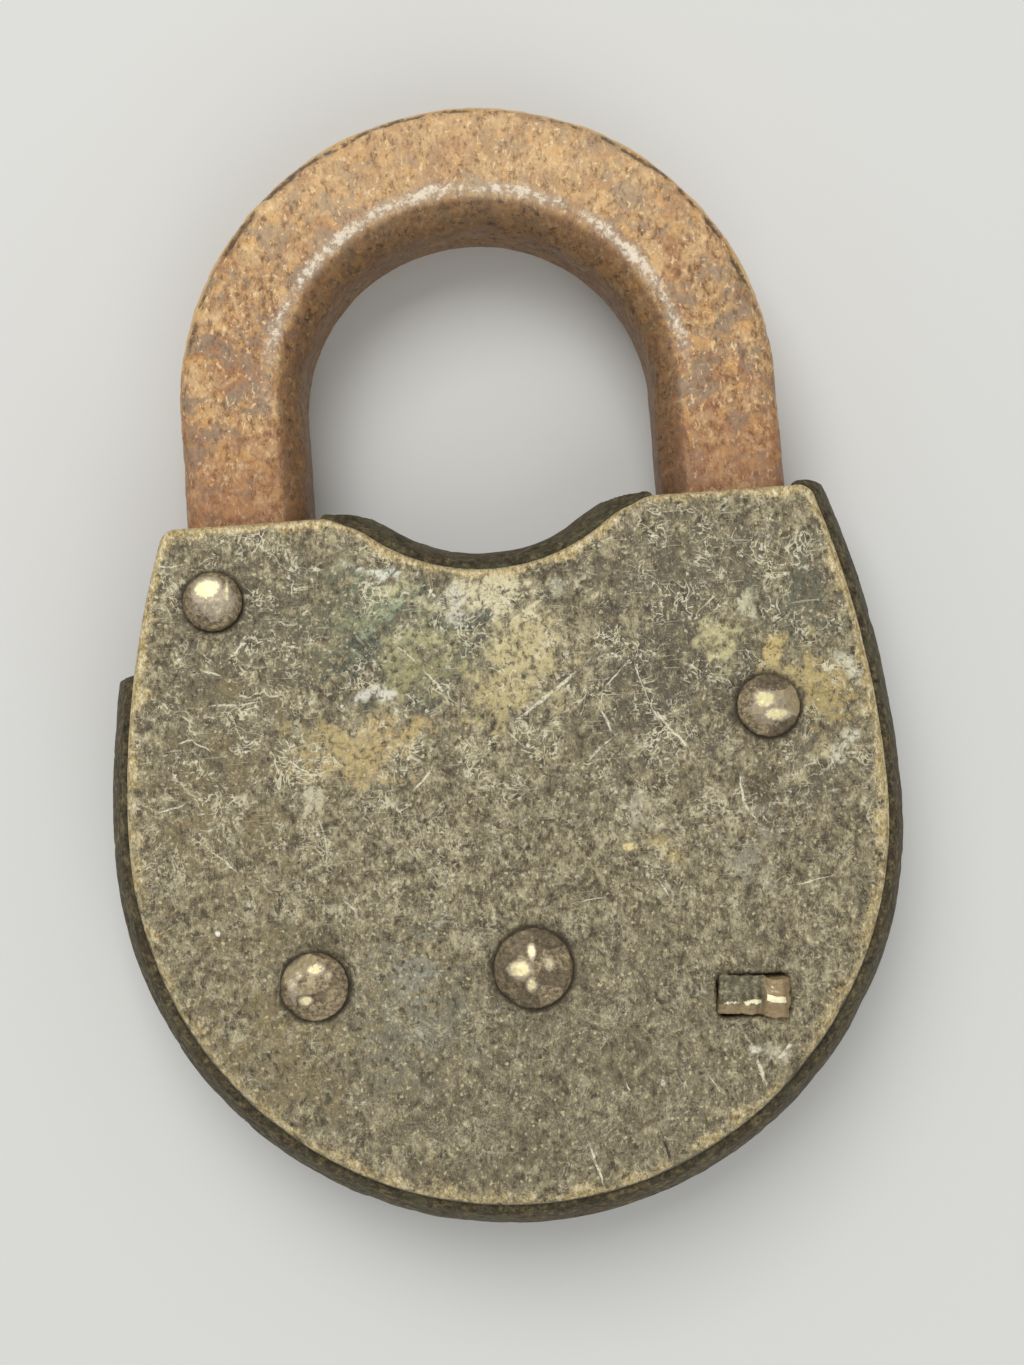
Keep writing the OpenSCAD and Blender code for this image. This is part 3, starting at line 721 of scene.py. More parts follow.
# %% Wear and roughen the case
CASE_VOXEL = 0.42
WALL_CORNER, FRONT_EDGE = 1.6, 1.0
# The pocket's walls stand back by this much, so that the bolt slides clear of the skin.
POCKET_ROOM = 0.12
WALL_R = ((SEAT_Z / 2) ** 2 + (BULGE - LEDGE) ** 2) / (2 * (BULGE - LEDGE))


def wall_grow(z):
    """How far the bulging wall stands outside the plate's outline at a height."""
    off = np.clip(z - SEAT_Z / 2, -SEAT_Z / 2, SEAT_Z / 2)
    return BULGE - WALL_R + np.sqrt(WALL_R ** 2 - off ** 2)


def case_form(places):
    """The casting's outer form, its rim and front edges worn."""
    z = places[:, 2]
    wall = outline_depth(places, wall_grow(z), WALL_CORNER)
    return rounded(rounded(wall, SEAT_Z - z, rim_wear), z, FRONT_EDGE)


case = dense_skin(solid_copy("case", "case_cast"), CASE_VOXEL)
points = read_points(case)
rim_wear = np.clip(0.45 + 0.15 * bumps(points, 4, 2, 11), 0.25, 0.7)
points = press_inside(points, case_form)
write_points(case, points)
normals = read_points(case, "normal")
z = points[:, 2]
wall_depth = outline_depth(points, wall_grow(z), WALL_CORNER)
outer = fade(wall_depth, 0.7, 0.2)
front = fade(z, 0.6, 0.1)
sand = 0.10 * bumps(points, 5, 3, 12) + 0.05 * bumps(points, 1.1, 3, 13) - 0.06
chips = -0.5 * np.maximum(bumps(points, 2.4, 3, 14) - 0.32, 0) * fade(wall_depth, 0.5, 0.1)
inside = fade(wall_depth, 1.2, 1.5) * fade(z, 1.3, 1.6) * fade(z, SEAT_Z - 0.3, SEAT_Z - 0.6)
push = (sand + chips) * outer + 0.3 * (sand - 0.05) * front * (1 - outer) - POCKET_ROOM * inside
points += normals * np.minimum(push, 0.0)[:, None]
points[:, 2] = np.maximum(points[:, 2], 0.0)
write_points(case, points)
widest = fade(np.abs(points[:, 2] - SEAT_Z / 2), 5.5, 1.0) * outer * fade(bumps(points, 8, 4, 15), -0.5, 0.5)
rim = fade(points[:, 2], SEAT_Z - 0.9, SEAT_Z - 0.2) * outer
write_mask(case, "worn", np.maximum(0.62 * widest, 0.35 * rim))
seam = fade(outline_depth(points), -0.25, 0.15) * fade(points[:, 2], SEAT_Z - 0.6, SEAT_Z - 0.1)
write_mask(case, "grime_and_shade", 0.85 * seam)
finished(case, "lock_body", "case_brass", case_finish, "case")

# %% [markdown]
# ## The shackle: a bar swept round a bow
# A smith drew out a steel bar with a flat back, well rounded inside edges and smaller outside ones, bent it
# round a form, and forged the heel and toe at its ends. A sweep along a path is exactly that, and Geometry
# Nodes keep it editable: the tree takes the path and makes the bar's section from named sizes. The ends
# inside the body keep the solid's own form, with the pivot hole and the notch for the bolt, and the remesh
# welds both into one skin.

# %% Path of the bow
shackle_low, shackle_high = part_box("shackle")
BAR_W, BAR_T = 11.9, (shackle_high.z - shackle_low.z) / MM
LEG_OUT = shackle_high.x / MM
BOW_R = LEG_OUT - BAR_W / 2
BOW_CY = shackle_high.y / MM - LEG_OUT
BOW_Z = (shackle_low.z + shackle_high.z) / 2 / MM
OVERLAP = 4.0
INNER_EDGE, OUTER_EDGE = 3.6, 1.8
BOW_STEPS = 48

foot = SHOULDER_Y - OVERLAP
turns = [math.pi * i / BOW_STEPS for i in range(BOW_STEPS + 1)]
arc = [(-BOW_R * math.cos(a), BOW_CY + BOW_R * math.sin(a)) for a in turns]
bow = [(-BOW_R, foot)] + arc + [(BOW_R, foot)]
curve = bpy.data.curves.new("bow_path", "CURVE")
curve.dimensions = "3D"
spline = curve.splines.new("POLY")
spline.points.add(len(bow) - 1)
for point, (x, y) in zip(spline.points, bow):
    point.co = (x * MM, y * MM, BOW_Z * MM, 1)
print(f"bow of radius {BOW_R:.1f} mm round y = {BOW_CY:.1f} mm")

# %% Geometry Nodes: sweep a rounded bar along the path
def new_tree(name, sizes):
    """An empty geometry tree with a geometry in and out, and a named input for each size."""
    tree = bpy.data.node_groups.new(name, "GeometryNodeTree")
    for label, kind, value in [("Geometry", "NodeSocketGeometry", None)] + sizes:
        socket = tree.interface.new_socket(name=label, in_out="INPUT", socket_type=kind)
        if value is not None:
            socket.default_value = value
    tree.interface.new_socket(name="Geometry", in_out="OUTPUT", socket_type="NodeSocketGeometry")
    return tree, add(tree, "NodeGroupInput").outputs, add(tree, "NodeGroupOutput")


def use_tree(piece, tree, **values):
    """Put a tree on a piece, setting its inputs by their identifiers before it is first evaluated."""
    modifier = piece.modifiers.new(tree.name, "NODES")
    modifier.node_group = tree
    names = {item.name.replace(" ", "_"): item.identifier for item in tree.interface.items_tree
             if item.in_out == "INPUT"}
    for name, value in values.items():
        modifier[names[name]] = value


LENGTH, WHOLE, FINISH = "NodeSocketFloat", "NodeSocketInt", "NodeSocketMaterial"
STEP = 0.8
sweep, sizes, made = new_tree("bar_sweep", [
    ("Width", LENGTH, BAR_W * MM), ("Thickness", LENGTH, BAR_T * MM), ("Inner Edge", LENGTH, INNER_EDGE * MM),
    ("Outer Edge", LENGTH, OUTER_EDGE * MM), ("Step", LENGTH, STEP * MM), ("Material", FINISH, None)])
path = add(sweep, "GeometryNodeResampleCurve", {"Curve": sizes["Geometry"], "Length": sizes["Step"]},
           mode="LENGTH")
path = add(sweep, "GeometryNodeSetCurveNormal", {"Curve": path}, mode="Z_UP")
section = add(sweep, "GeometryNodeCurvePrimitiveQuadrilateral",
              {"Width": sizes["Width"], "Height": sizes["Thickness"]})
corner = add(sweep, "GeometryNodeInputPosition")
across = add(sweep, "ShaderNodeSeparateXYZ", {0: corner})
inside = add(sweep, "ShaderNodeMath", {0: across.outputs["X"], 1: 0.0}, operation="GREATER_THAN")
edge = add(sweep, "GeometryNodeSwitch", {"Switch": inside, "False": sizes["Outer Edge"],
                                         "True": sizes["Inner Edge"]}, input_type="FLOAT")
section = add(sweep, "GeometryNodeFilletCurve", {"Curve": section, "Radius": edge, "Count": 10}, mode="POLY")
bar = add(sweep, "GeometryNodeCurveToMesh", {"Curve": path, "Profile Curve": section, "Fill Caps": True})
bar = add(sweep, "GeometryNodeRealizeInstances", {0: bar})
bar = add(sweep, "GeometryNodeSetMaterial", {"Geometry": bar, "Material": sizes["Material"]})
sweep.links.new(bar.outputs[0], made.inputs[0])
print("sweep tree:", len(sweep.nodes), "nodes")

# %% [markdown]
# ## Finish of the shackle: forged steel under dry rust
# Bare steel rusts in coats: a dark red-brown skin that clings, and orange where it is fresh. The rust is
# nearly matt, so the pale shine along the inner bend is a painted highlight, the top of the bow is paler
# partly from drier rust and partly from painted light, and the pits stay dark.

# %% Rusted forged steel
# Dry rust is a powder baked hard: it hardly shines, and its colour breaks up into crumbs of half a
# millimetre over patches a few millimetres wide.
rust_finish, tree, shader, spot = new_finish("rusted_forged_steel", 0.5, 0.2)
dry_and_lit, damp, sheltered, fold, rim, highlight = [
    add(tree, "ShaderNodeAttribute", attribute_name=name).outputs["Fac"]
    for name in ("dry_and_lit", "damp", "sheltered", "fold", "rim", "painted_highlight")]
fine = grain(tree, spot, 0.6, 6, (1, 0.6, 1), 8, harsh=0.78)
patches = grain(tree, spot, 4.4, 5, warp=0.7, harsh=0.55)
fresh = grain(tree, spot, 1.6, 5, warp=0.6, harsh=0.6)
satin = grain(tree, spot, 2.6, 4, warp=0.6, harsh=0.55)
flecks = grain(tree, spot, 0.45, 5, (1, 0.6, 1), -20, warp=0.6)
pits = grain(tree, spot, 0.8, 7, warp=0.4, harsh=0.8)
rusting = grain(tree, spot, 1.3, 7, warp=0.3, harsh=0.85)
broken = grain(tree, spot, 0.7, 7, harsh=0.85)
highlight_flashes = roughened(tree, highlight, grain(tree, spot, 0.7, 6, harsh=0.8), 1.8)
colour = add(tree, "ShaderNodeValToRGB", {0: fine}, stops=[
    (0.36, "#7d5734"), (0.46, "#a37b50"), (0.54, "#c0976a"), (0.66, "#eccb98")]).outputs["Color"]
colour = coats(tree, colour, [
    ("#9a6440", patches, 0.46, 0.64, 0.65),
    ("#8d7c67", satin, 0.48, 0.62, 0.7),
    ("#dba762", fresh, 0.5, 0.68, 0.7),
    ("#efd09c", satin, 0.47, 0.34, 0.35),
    # Paler towards the top of the bow: partly drier rust, partly painted light from above.
    ("#eac694", dry_and_lit, 0.0, 1.0, 0.3),
    ("#6b4a2c", fine, 0.46, 0.38, 0.6),
    # Flecks where the skin has flaked to bare metal.
    ("#fbd9a4", flecks, 0.57, 0.68, 0.7),
    ("#ffe6bf", specks(tree, spot, 0.8, 0.36, 0.3), 0.2, 0.8, 0.55),
    ("#8e5330", damp, 0.0, 1.0, 0.45),
    # The inner side was never rubbed: darker, pitted, with fresh rust.
    ("#644526", sheltered, 0.1, 0.9, 0.7),
    ("#2b1d10", pits, 0.48, 0.37, 0.75, sheltered),
    ("#c08a4a", rusting, 0.51, 0.68, 0.6, sheltered),
    ("#3b2d1c", roughened(tree, fold, broken, 1.6), 0.3, 0.95, 0.8),
    ("#dcb87c", roughened(tree, rim, broken, 0.4), 0.4, 0.7, 0.75),
    # Painted highlight along the inner bend, broken into bright flashes: it stands in for the lamp's
    # reflection.
    ("#a59683", highlight, 0.1, 0.8, 0.55),
    ("#f4e6d0", highlight_flashes, 0.55, 1.1, 0.8)])
dressed(tree, shader, colour, fine, 0.12, Metallic=(highlight_flashes, 0.35, 1.0, 0.12, 0.4),
        Roughness=(satin, 0.4, 0.65, 0.56, 0.38))
print("rust:", len(tree.nodes), "nodes")

# %% Build and rust the shackle
SHACKLE_VOXEL = 0.27
FOLD_IN, FOLD_W, FOLD_CUT = 0.62, 0.42, 0.25
HIGHLIGHT_IN, HIGHLIGHT_W = 3.4, 0.85
# Heights in mm up the lock between which each thing comes in; the bow's top is near 70.
FOLD_FROM, RIM_FROM, HIGHLIGHT_FROM, DRY_AND_LIT_FROM, DAMP_BELOW = (42, 52), (40, 50), (33, 50), (48, 66), 44
bow_piece = new_object("bow_path", curve)
use_tree(bow_piece, sweep, Material=rust_finish)
swept = made_mesh(bow_piece)
bpy.data.objects.remove(bow_piece)

shackle = solid_copy("shackle", "shackle_rusty")
topped(shackle, SHOULDER_Y - OVERLAP / 2, (0, 1, 0), swept)
dense_skin(shackle, SHACKLE_VOXEL)

points = read_points(shackle)
normals = read_points(shackle, "normal")
shown = fade(points[:, 1], SHOULDER_Y - 2.5, SHOULDER_Y + 0.5)
from_centre = np.hypot(points[:, 0], np.maximum(points[:, 1] - BOW_CY, 0))
across = np.where(points[:, 1] > BOW_CY, from_centre, np.abs(points[:, 0])) - (BOW_R - BAR_W / 2)
top_fall = shackle_high.z / MM - points[:, 2]
push = 0.10 * bumps(points, 7, 3, 21) + 0.05 * bumps(points, 1.8, 3, 22) + 0.03 * bumps(points, 0.6, 2, 23)
push -= 0.16 * np.maximum(bumps(points, 1.5, 3, 24) - 0.3, 0)
# The forging fold: a dark crease that wanders along the outer edge of the bow.
wander = FOLD_IN + 0.3 * bumps(points, 4, 3, 25)
crease = near(BAR_W - across, wander, FOLD_W) * fade(top_fall, 2.2, 1.2)
crease *= fade(points[:, 1], *FOLD_FROM) * fade(bumps(points, 3, 3, 26), -0.45, 0.1)
push -= FOLD_CUT * crease
points += normals * (np.minimum(push - 0.05, 0.0) * shown)[:, None]
write_points(shackle, points)
write_mask(shackle, "fold", crease * shown)
outer_rim = fade(across, BAR_W - 0.75, BAR_W - 0.3) * fade(top_fall, 2.6, 1.2)
outer_rim *= fade(points[:, 1], *RIM_FROM)
write_mask(shackle, "rim", outer_rim * (1 - crease))
# A painted highlight along the bend between the flat back and the inner side.
highlight_band = near(across, HIGHLIGHT_IN, HIGHLIGHT_W) * fade(top_fall, 1.6, 0.8) * fade(points[:, 1], *HIGHLIGHT_FROM)
write_mask(shackle, "painted_highlight", highlight_band * (0.8 + 0.5 * bumps(points, 4, 3, 27)))
# The top of the bow is painted paler: partly drier rust, partly painted light from above.
write_mask(shackle, "dry_and_lit", fade(points[:, 1], *DRY_AND_LIT_FROM))
write_mask(shackle, "sheltered", fade(across, 3.2, 1.6))
write_mask(shackle, "damp", fade(points[:, 1], DAMP_BELOW, SHOULDER_Y) * shown)
finished(shackle, "swing_shackle", "rusty_steel", rust_finish, "shackle")

# %% [markdown]
# ## The peened heads
# Each pin's end was left standing and hammered over the plate. Every blow leaves a small flat, and later
# wear rubs the highest flats bright; those bright patches are partly polished brass and partly painted
# highlight, and each struck flat also takes a painted reflection, light or dark. Four heads share one
# Geometry
# Nodes tree with a repeat zone: each turn of it is one hammer blow that slices the dome along a random plane.
# Modelling each head by hand would also
# work, but the tree makes the next one from five numbers. The pins below the heads keep their solids' form.

# %% Geometry Nodes: hammer a head
BLOW_SEED, GLINT_SEED = 0, 5
peen, sizes, made = new_tree("peened_head", [
    ("Radius", LENGTH, 3 * MM), ("Height", LENGTH, 1.5 * MM), ("Place", "NodeSocketVector", (0, 0, 0)),
    ("Blows", WHOLE, 9), ("Slice", LENGTH, 0.1), ("Lean", LENGTH, 0.6), ("Seed", WHOLE, 1),
    ("Material", FINISH, None)])
ball = add(peen, "GeometryNodeMeshIcoSphere", {"Radius": 1.0, "Subdivisions": 6})
zone_in = peen.nodes.new("GeometryNodeRepeatInput")
zone_out = peen.nodes.new("GeometryNodeRepeatOutput")
zone_in.pair_with_output(zone_out)
peen.links.new(sizes["Blows"], zone_in.inputs["Iterations"])
peen.links.new(ball.outputs[0], zone_in.inputs["Geometry"])
blow_seed = add(peen, "ShaderNodeMath", {0: sizes["Seed"], 1: 31.0, 2: zone_in.outputs["Iteration"]},
                operation="MULTIPLY_ADD")
aim = add(peen, "FunctionNodeRandomValue", {0: (-1, -1, 0), 1: (1, 1, 0), "ID": blow_seed,
                                            "Seed": BLOW_SEED}, data_type="FLOAT_VECTOR")
lean = add(peen, "ShaderNodeVectorMath", {0: aim, 3: sizes["Lean"]}, operation="SCALE")
upward = add(peen, "ShaderNodeVectorMath", {0: lean, 1: (0, 0, 1)}, operation="ADD")
blow = add(peen, "ShaderNodeVectorMath", {0: upward}, operation="NORMALIZE")
where = add(peen, "GeometryNodeInputPosition")
reach = add(peen, "ShaderNodeVectorMath", {0: where, 1: blow}, operation="DOT_PRODUCT").outputs["Value"]
plane = add(peen, "ShaderNodeMath", {0: 1.0, 1: sizes["Slice"]}, operation="SUBTRACT")
over = add(peen, "ShaderNodeMath", {0: reach, 1: plane}, operation="SUBTRACT")
over = add(peen, "ShaderNodeMath", {0: over, 1: 0.0}, operation="MAXIMUM")
back = add(peen, "ShaderNodeVectorMath", {0: blow, 3: over}, operation="SCALE")
new_place = add(peen, "ShaderNodeVectorMath", {0: where, 1: back}, operation="SUBTRACT")
# A struck point takes its blow's painted reflection, from -1 for dark to 1 for bright.
facet_glint = add(peen, "FunctionNodeRandomValue", {2: -1.0, 3: 1.0, "ID": blow_seed, "Seed": GLINT_SEED})
hit = add(peen, "FunctionNodeCompare", {0: reach, 1: plane}, operation="GREATER_THAN")
glinted = add(peen, "GeometryNodeStoreNamedAttribute", {
    "Geometry": zone_in.outputs["Geometry"], "Selection": hit, "Name": "facet_glint",
    "Value": facet_glint.outputs[1]})
struck = add(peen, "GeometryNodeSetPosition", {"Geometry": glinted, "Position": new_place})
peen.links.new(struck.outputs[0], zone_out.inputs["Geometry"])
# Rough the dome a little, press its underside flat, then bring it to size and to its place.
where = add(peen, "GeometryNodeInputPosition")
rough = add(peen, "ShaderNodeTexNoise", {"Vector": where, "Scale": 5.0, "Detail": 3.0})
rough = add(peen, "ShaderNodeMapRange", {"Value": rough, "To Min": 0.93, "To Max": 1.0})
dimpled = add(peen, "ShaderNodeVectorMath", {0: where, 3: rough}, operation="SCALE")
base = add(peen, "ShaderNodeVectorMath", {0: dimpled, 1: (-2, -2, -0.05)}, operation="MAXIMUM")
scale = add(peen, "ShaderNodeCombineXYZ", {0: sizes["Radius"], 1: sizes["Radius"], 2: sizes["Height"]})
final = add(peen, "ShaderNodeVectorMath", {0: base, 1: scale, 2: sizes["Place"]}, operation="MULTIPLY_ADD")
head = add(peen, "GeometryNodeSetPosition", {"Geometry": zone_out.outputs["Geometry"], "Position": final})
head = add(peen, "GeometryNodeRealizeInstances", {0: head})
head = add(peen, "GeometryNodeSetMaterial", {"Geometry": head, "Material": sizes["Material"]})
peen.links.new(head.outputs[0], made.inputs[0])
print("peening tree:", len(peen.nodes), "nodes")

# %% Hammered brass, rubbed bright on its high facets, with painted highlights and reflections
# Hammering packs brass hard and smooth, so each little flat would mirror its own part of the room. Here that
# is
# painted into the colour: some struck flats are painted bright and their neighbours dark, the rubbed patches
# are partly polished brass and partly painted highlight, and brown patina fills what the rubbing never
# reaches.
pin_finish, tree, shader, spot = new_finish("hammered_brass", 0.4, 0.5)
facet_glint, rubbed_and_highlit, grime_and_shade = [add(tree, "ShaderNodeAttribute", attribute_name=name).outputs["Fac"]
                       for name in ("facet_glint", "rubbed_and_highlit", "grime_and_shade")]
skin = grain(tree, spot, 0.4, 5, harsh=0.75)
rub_and_highlight = roughened(tree, rubbed_and_highlit, grain(tree, spot, 0.45, 6, harsh=0.8), 0.9)
colour = add(tree, "ShaderNodeValToRGB", {0: skin}, stops=[
    (0.36, "#574c3a"), (0.5, "#8c7d62"), (0.64, "#b9a883")]).outputs["Color"]
colour = coats(tree, colour, [
    # Painted reflections: each struck flat is painted darker or lighter at random.
    ("#4f4433", facet_glint, -0.15, -0.35, 0.6),
    ("#c5b48b", facet_glint, 0.35, 0.55, 0.5),
    # Rubbed patches: partly polished brass, partly painted highlight.
    ("#b6a893", rub_and_highlight, 0.1, 0.45, 0.8),
    ("#f9ecb6", rub_and_highlight, 0.5, 0.95, 0.95),
    ("#2a2115", grime_and_shade, 0.0, 1.0)])
dressed(tree, shader, colour, skin, 0.06, Roughness=(rub_and_highlight, 0.5, 0.75, 0.46, 0.34))
print("hammered brass:", len(tree.nodes), "nodes")

# %% Make the four pins
# Each pin: blows, slice, lean, seed.
PEENED = {
    "shackle_pivot": (4, 0.06, 0.5, 4),
    "stop_post": (9, 0.19, 1.1, 9),
    "lever_post": (12, 0.18, 1.1, 5),
    "key_pin": (14, 0.16, 1.1, 2),
}
# Rubbed facets, partly polished brass and partly painted highlight: place on the head and half sizes, as
# shares of its radius, and how bright.
RUBBED_AND_HIGHLIT = {
    "shackle_pivot": [(-0.12, 0.4, 0.46, 0.34, 1.0), (0.1, -0.05, 0.7, 0.55, 0.5),
                      (0.52, 0.22, 0.06, 0.4, 0.9)],
    "stop_post": [(-0.14, 0.18, 0.34, 0.26, 1.0), (0.2, -0.3, 0.46, 0.2, 0.9),
                  (0.0, -0.1, 0.7, 0.6, 0.35)],
    "lever_post": [(0.08, 0.5, 0.28, 0.15, 0.9), (-0.42, 0.38, 0.12, 0.14, 0.7), (0.42, 0.3, 0.1, 0.16, 0.7),
                   (-0.26, -0.36, 0.2, 0.13, 1.0), (-0.6, 0.0, 0.14, 0.5, 0.5)],
    "key_pin": [(-0.33, 0.02, 0.26, 0.2, 1.0), (0.38, 0.1, 0.12, 0.18, 0.8), (-0.02, 0.42, 0.1, 0.18, 0.9),
                (-0.08, -0.38, 0.12, 0.16, 0.9)],
}
HEAD_SINK = 0.06


def make_pin(node, blows, slice_depth, lean, seed):
    """A pin: its solid below the plate's face, and a hammered head above."""
    x, y, _ = centre_of(node)
    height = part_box(node)[1].z - BACK_Z * MM
    pin = solid_copy(node, node + "_peened")
    carrier = new_object("head", bpy.data.meshes.new("head"))
    use_tree(carrier, peen, Radius=HEADS[node] * MM, Height=height, Place=(x * MM, y * MM, BACK_Z * MM),
             Blows=blows, Slice=slice_depth, Lean=lean, Seed=seed, Material=pin_finish)
    topped(pin, BACK_Z - HEAD_SINK, (0, 0, 1), made_mesh(carrier))
    bpy.data.objects.remove(carrier)
    points = read_points(pin)
    rise = (points[:, 2] - BACK_Z) / (height / MM)
    rubbed_and_highlit = np.zeros(len(points))
    for across_x, across_y, half_x, half_y, highlight in RUBBED_AND_HIGHLIT[node]:
        reach_x = ((points[:, 0] - x) / HEADS[node] - across_x) / half_x
        reach_y = ((points[:, 1] - y) / HEADS[node] - across_y) / half_y
        rubbed_and_highlit = np.maximum(rubbed_and_highlit, highlight * fade(np.hypot(reach_x, reach_y), 1.5, 0.5))
    write_mask(pin, "rubbed_and_highlit", rubbed_and_highlit * fade(rise, 0.3, 0.5))
    write_mask(pin, "grime_and_shade", fade(rise, 0.3, 0.0) * fade(rise, -0.3, -0.05) * 0.8)
    finished(pin, "lock_body", "rivet_brass", pin_finish, node)


for node, strikes in PEENED.items():
    make_pin(node, *strikes)

# %% [markdown]
# ## The lever rest's tab
# The steel block that the levers drop on is held by a tab that stands through the plate and was spread with
# a few rough chisel blows: a low block on the left, a saddle, and a separate chunk on the right with one
# facet that carries a painted highlight. A box cut into small squares and shaped by heights gives those
# planes directly.

# %% Hewn steel
# A chisel leaves torn, uneven planes. They have gone dull and brown; the bright strip and the pale line along
# the lower edge are painted highlights.
tab_finish, tree, shader, spot = new_finish("hewn_steel", 0.45, 0.4)
brown, rubbed_and_highlit, grime_and_shade = [add(tree, "ShaderNodeAttribute", attribute_name=name).outputs["Fac"]
                        for name in ("brown", "rubbed_and_highlit", "grime_and_shade")]
skin = grain(tree, spot, 0.45, 5, harsh=0.75)
colour = add(tree, "ShaderNodeValToRGB", {0: skin}, stops=[
    (0.36, "#413c2c"), (0.5, "#666049"), (0.64, "#8b8265")]).outputs["Color"]
colour = coats(tree, colour, [
    ("#a08a66", brown, 0.0, 1.0, 0.8),
    ("#4b3f2c", skin, 0.44, 0.34, 0.5),
    ("#b8a883", skin, 0.56, 0.66, 0.5),
    # Painted highlights: the bright strip on the right chunk and the pale line along the left block's lower
    # edge.
    ("#fbf2cb", roughened(tree, rubbed_and_highlit, grain(tree, spot, 0.5, 5, harsh=0.75), 0.7), 0.5, 0.7),
    ("#30261a", grime_and_shade, 0.0, 1.0)])
dressed(tree, shader, colour, skin, 0.06)
print("hewn steel:", len(tree.nodes), "nodes")

# %% Shape the tab
TAB_TILT = math.radians(-5)
TAB_ROOT, NECK, BLOCK_CUT = 1.2, 0.2, 0.8
CELLS = (44, 26, 10)


def grid_box(name, low, high, cells):
    """A closed box of even cells between two corners in mm."""
    work = bmesh.new()
    bmesh.ops.create_cube(work, size=1.0)
    for axis, count in enumerate(cells):
        for i in range(1, count):
            place, normal = Vector((0, 0, 0)), Vector((0, 0, 0))
            place[axis], normal[axis] = i / count - 0.5, 1
            parts = work.verts[:] + work.edges[:] + work.faces[:]
            bmesh.ops.bisect_plane(work, geom=parts, plane_co=place, plane_no=normal)
    mesh = bpy.data.meshes.new(name)
    work.to_mesh(mesh)
    work.free()
    piece = new_object(name, mesh)
    # The cube just made is 1 m wide, so its points in metres run from -0.5 to 0.5.
    points = read_points(piece) * MM
    write_points(piece, np.array(low) + (points + 0.5) * np.subtract(high, low))
    return piece


half_x, half_y = TAB_HALF
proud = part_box("lever_rest")[1].z / MM - BACK_Z
tab = grid_box("lever_rest_tab", (-half_x, -half_y, -TAB_ROOT), (half_x, half_y, proud), CELLS)
points = read_points(tab)
u, v, rise = points[:, 0] / half_x, points[:, 1] / half_y, fade(points[:, 2], -NECK, proud)
slopes = 0.10 * bumps(points, 1.1, 3, 31)
left = 0.8 + slopes - 0.3 * fade(v, -0.3, -1.0) - 0.4 * fade(v, -0.1, 1.0) - 0.2 * fade(u, -0.75, -1.0)
right = 1.0 + slopes - 0.45 * fade(v, -0.15, -1.0) - 0.45 * fade(v, 0.25, 1.0) - 0.3 * fade(u, 0.8, 1.0)
saddle = near(u, 0.26 + 0.12 * v, 0.1)
top = left + (right - left) * fade(u, 0.2, 0.32) - 0.25 * saddle
points[:, 2] = np.where(points[:, 2] > -NECK, -NECK + rise * (top * proud + NECK), points[:, 2])
ragged_side = 0.16 * bumps(points, 0.9, 3, 32)
points[:, 0] += np.sign(u) * ragged_side * (np.abs(u) > 0.9)
points[:, 1] += np.sign(v) * ragged_side * (np.abs(v) > 0.9) - 0.3 * fade(u, 0.2, 0.6) * rise
turned = np.array(((math.cos(TAB_TILT), -math.sin(TAB_TILT)), (math.sin(TAB_TILT), math.cos(TAB_TILT))))
points[:, :2] = points[:, :2] @ turned.T + (rest_x, rest_y)
points[:, 2] += BACK_Z
write_points(tab, points)
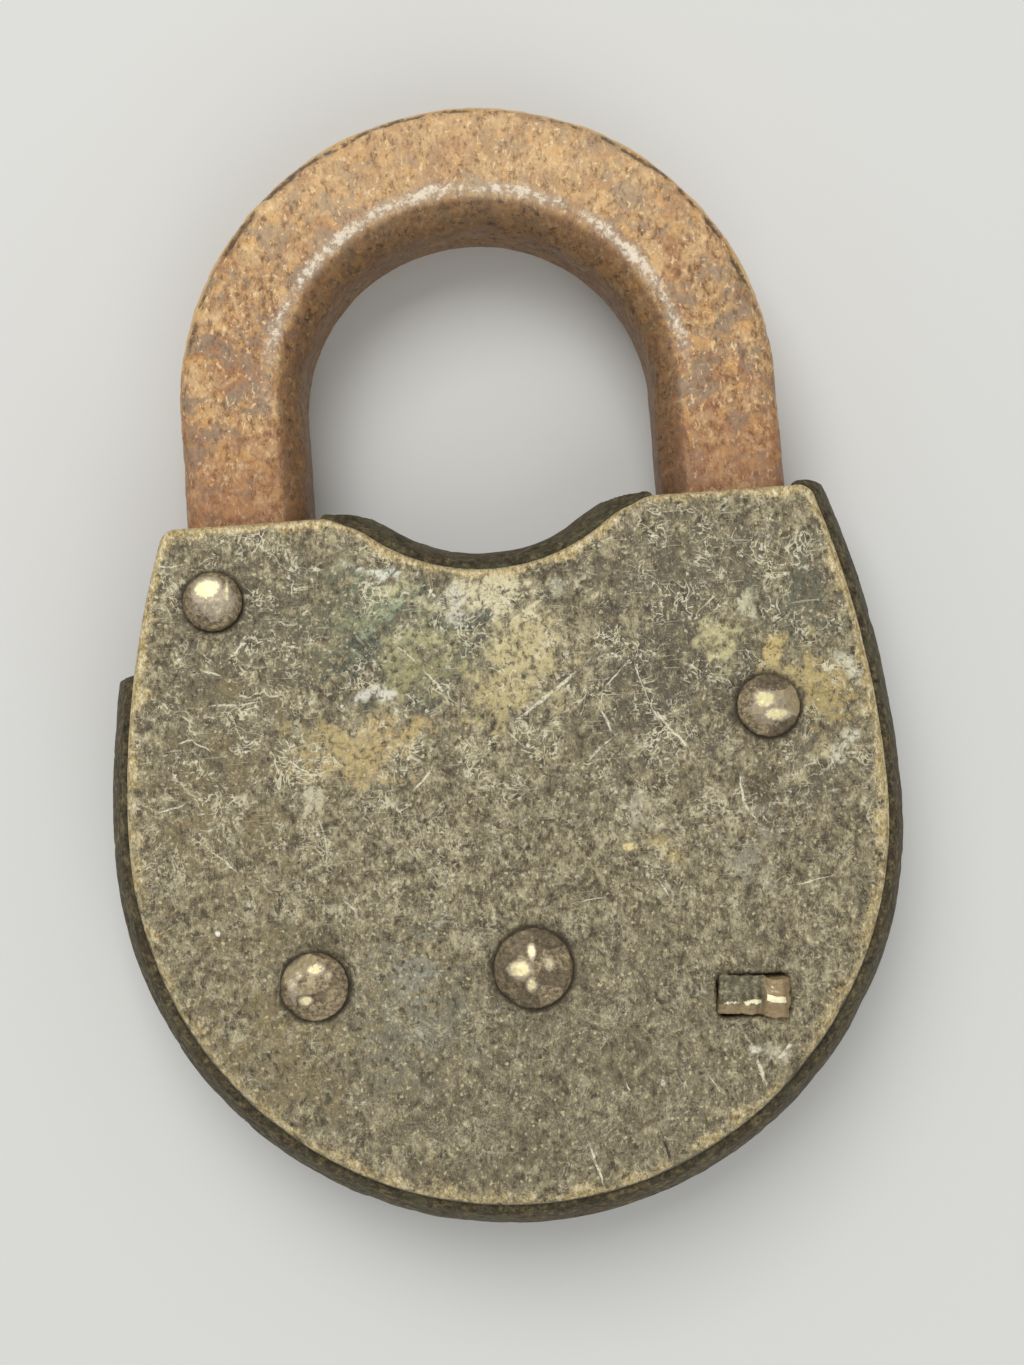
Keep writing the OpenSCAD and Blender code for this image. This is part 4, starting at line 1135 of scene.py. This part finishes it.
# Where the highlights are painted: a strip on the right chunk, a line along the left block's lower edge, and
# a softer spill.
strip = (u > 0.36) * (u < 0.9) * fade(v, -0.28, -0.16) * fade(v, 0.2, 0.1)
ridge = (u > -0.9) * (u < 0.2) * near(v, 0.12 * u - 0.34, 0.2) * (0.72 + 0.2 * u)
ridge *= 1 + 0.6 * bumps(points, 0.7, 3, 33)
spill = fade(u, 0.28, 0.36) * fade(u, 0.8, 0.6) * fade(v, 0.1, 0.3) * fade(v, 1.0, 0.6) * 0.45
write_mask(tab, "rubbed_and_highlit", np.maximum(strip, np.maximum(ridge, spill)) * fade(rise, 0.6, 0.9))
write_mask(tab, "brown", np.maximum(fade(u, 0.2, 0.34), 0.8 * fade(v, -0.4, -0.6)))
write_mask(tab, "grime_and_shade", np.maximum(fade(points[:, 2] - BACK_Z, 0.25, 0.0) * 0.7, 0.3 * saddle))

block = solid_copy("lever_rest", "rest_block")
topped(block, BACK_Z - BLOCK_CUT, (0, 0, 1), tab.data)
tab.data = block.data
bpy.data.objects.remove(block)
finished(tab, "lock_body", "rest_steel", tab_finish, "lever_rest")

# %% [markdown]
# ## The works inside
# Bolt, levers and springs keep their exact solids, because they have to fit and move. They are seen only
# through the keyhole, the side window or an opened lock, so they get a plain sound finish: oiled steel with
# the marks of the file, and bronze strip for the springs.

# %% Oiled steel and spring bronze
# Filed mild steel under old oil: grey and fairly bright, dulled by fine parallel strokes and a few brown
# specks. Real strokes are about 0.1 mm apart; these are drawn at 0.25 mm so that they show.
works_finish, tree, shader, spot = new_finish("filed_oiled_steel", 0.4, 0.9)
marks = grain(tree, spot, 0.25, 3, (0.1, 1, 1), 20)
colour = add(tree, "ShaderNodeValToRGB", {0: marks}, stops=[
    (0.35, "#6b6762"), (0.5, "#7c7771"), (0.65, "#908b84")]).outputs["Color"]
colour = coat(tree, colour, "#6d4a33", grain(tree, spot, 2.5, 5), 0.56, 0.7, 0.5)
dressed(tree, shader, colour, marks, 0.02)

# Rolled bronze strip: smooth and golden, with faint chatter lines from edge to edge.
spring_finish, tree, shader, spot = new_finish("drawn_spring_bronze", 0.32, 1.0)
marks = grain(tree, spot, 0.5, 3, (1, 1, 0.1))
colour = add(tree, "ShaderNodeValToRGB", {0: marks}, stops=[
    (0.38, "#8a6a3e"), (0.5, "#ad8a55"), (0.62, "#c7a672")]).outputs["Color"]
dressed(tree, shader, colour, marks, 0.01)

works = [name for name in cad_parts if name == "bolt" or name.startswith("lever_")]
works = [name for name in works if name not in ("lever_post", "lever_rest")]
for name in works:
    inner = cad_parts[name]
    finish = spring_finish if "spring" in name else works_finish
    inner.material_slots[0].material = finish
print("works inside:", len(works), "pieces")
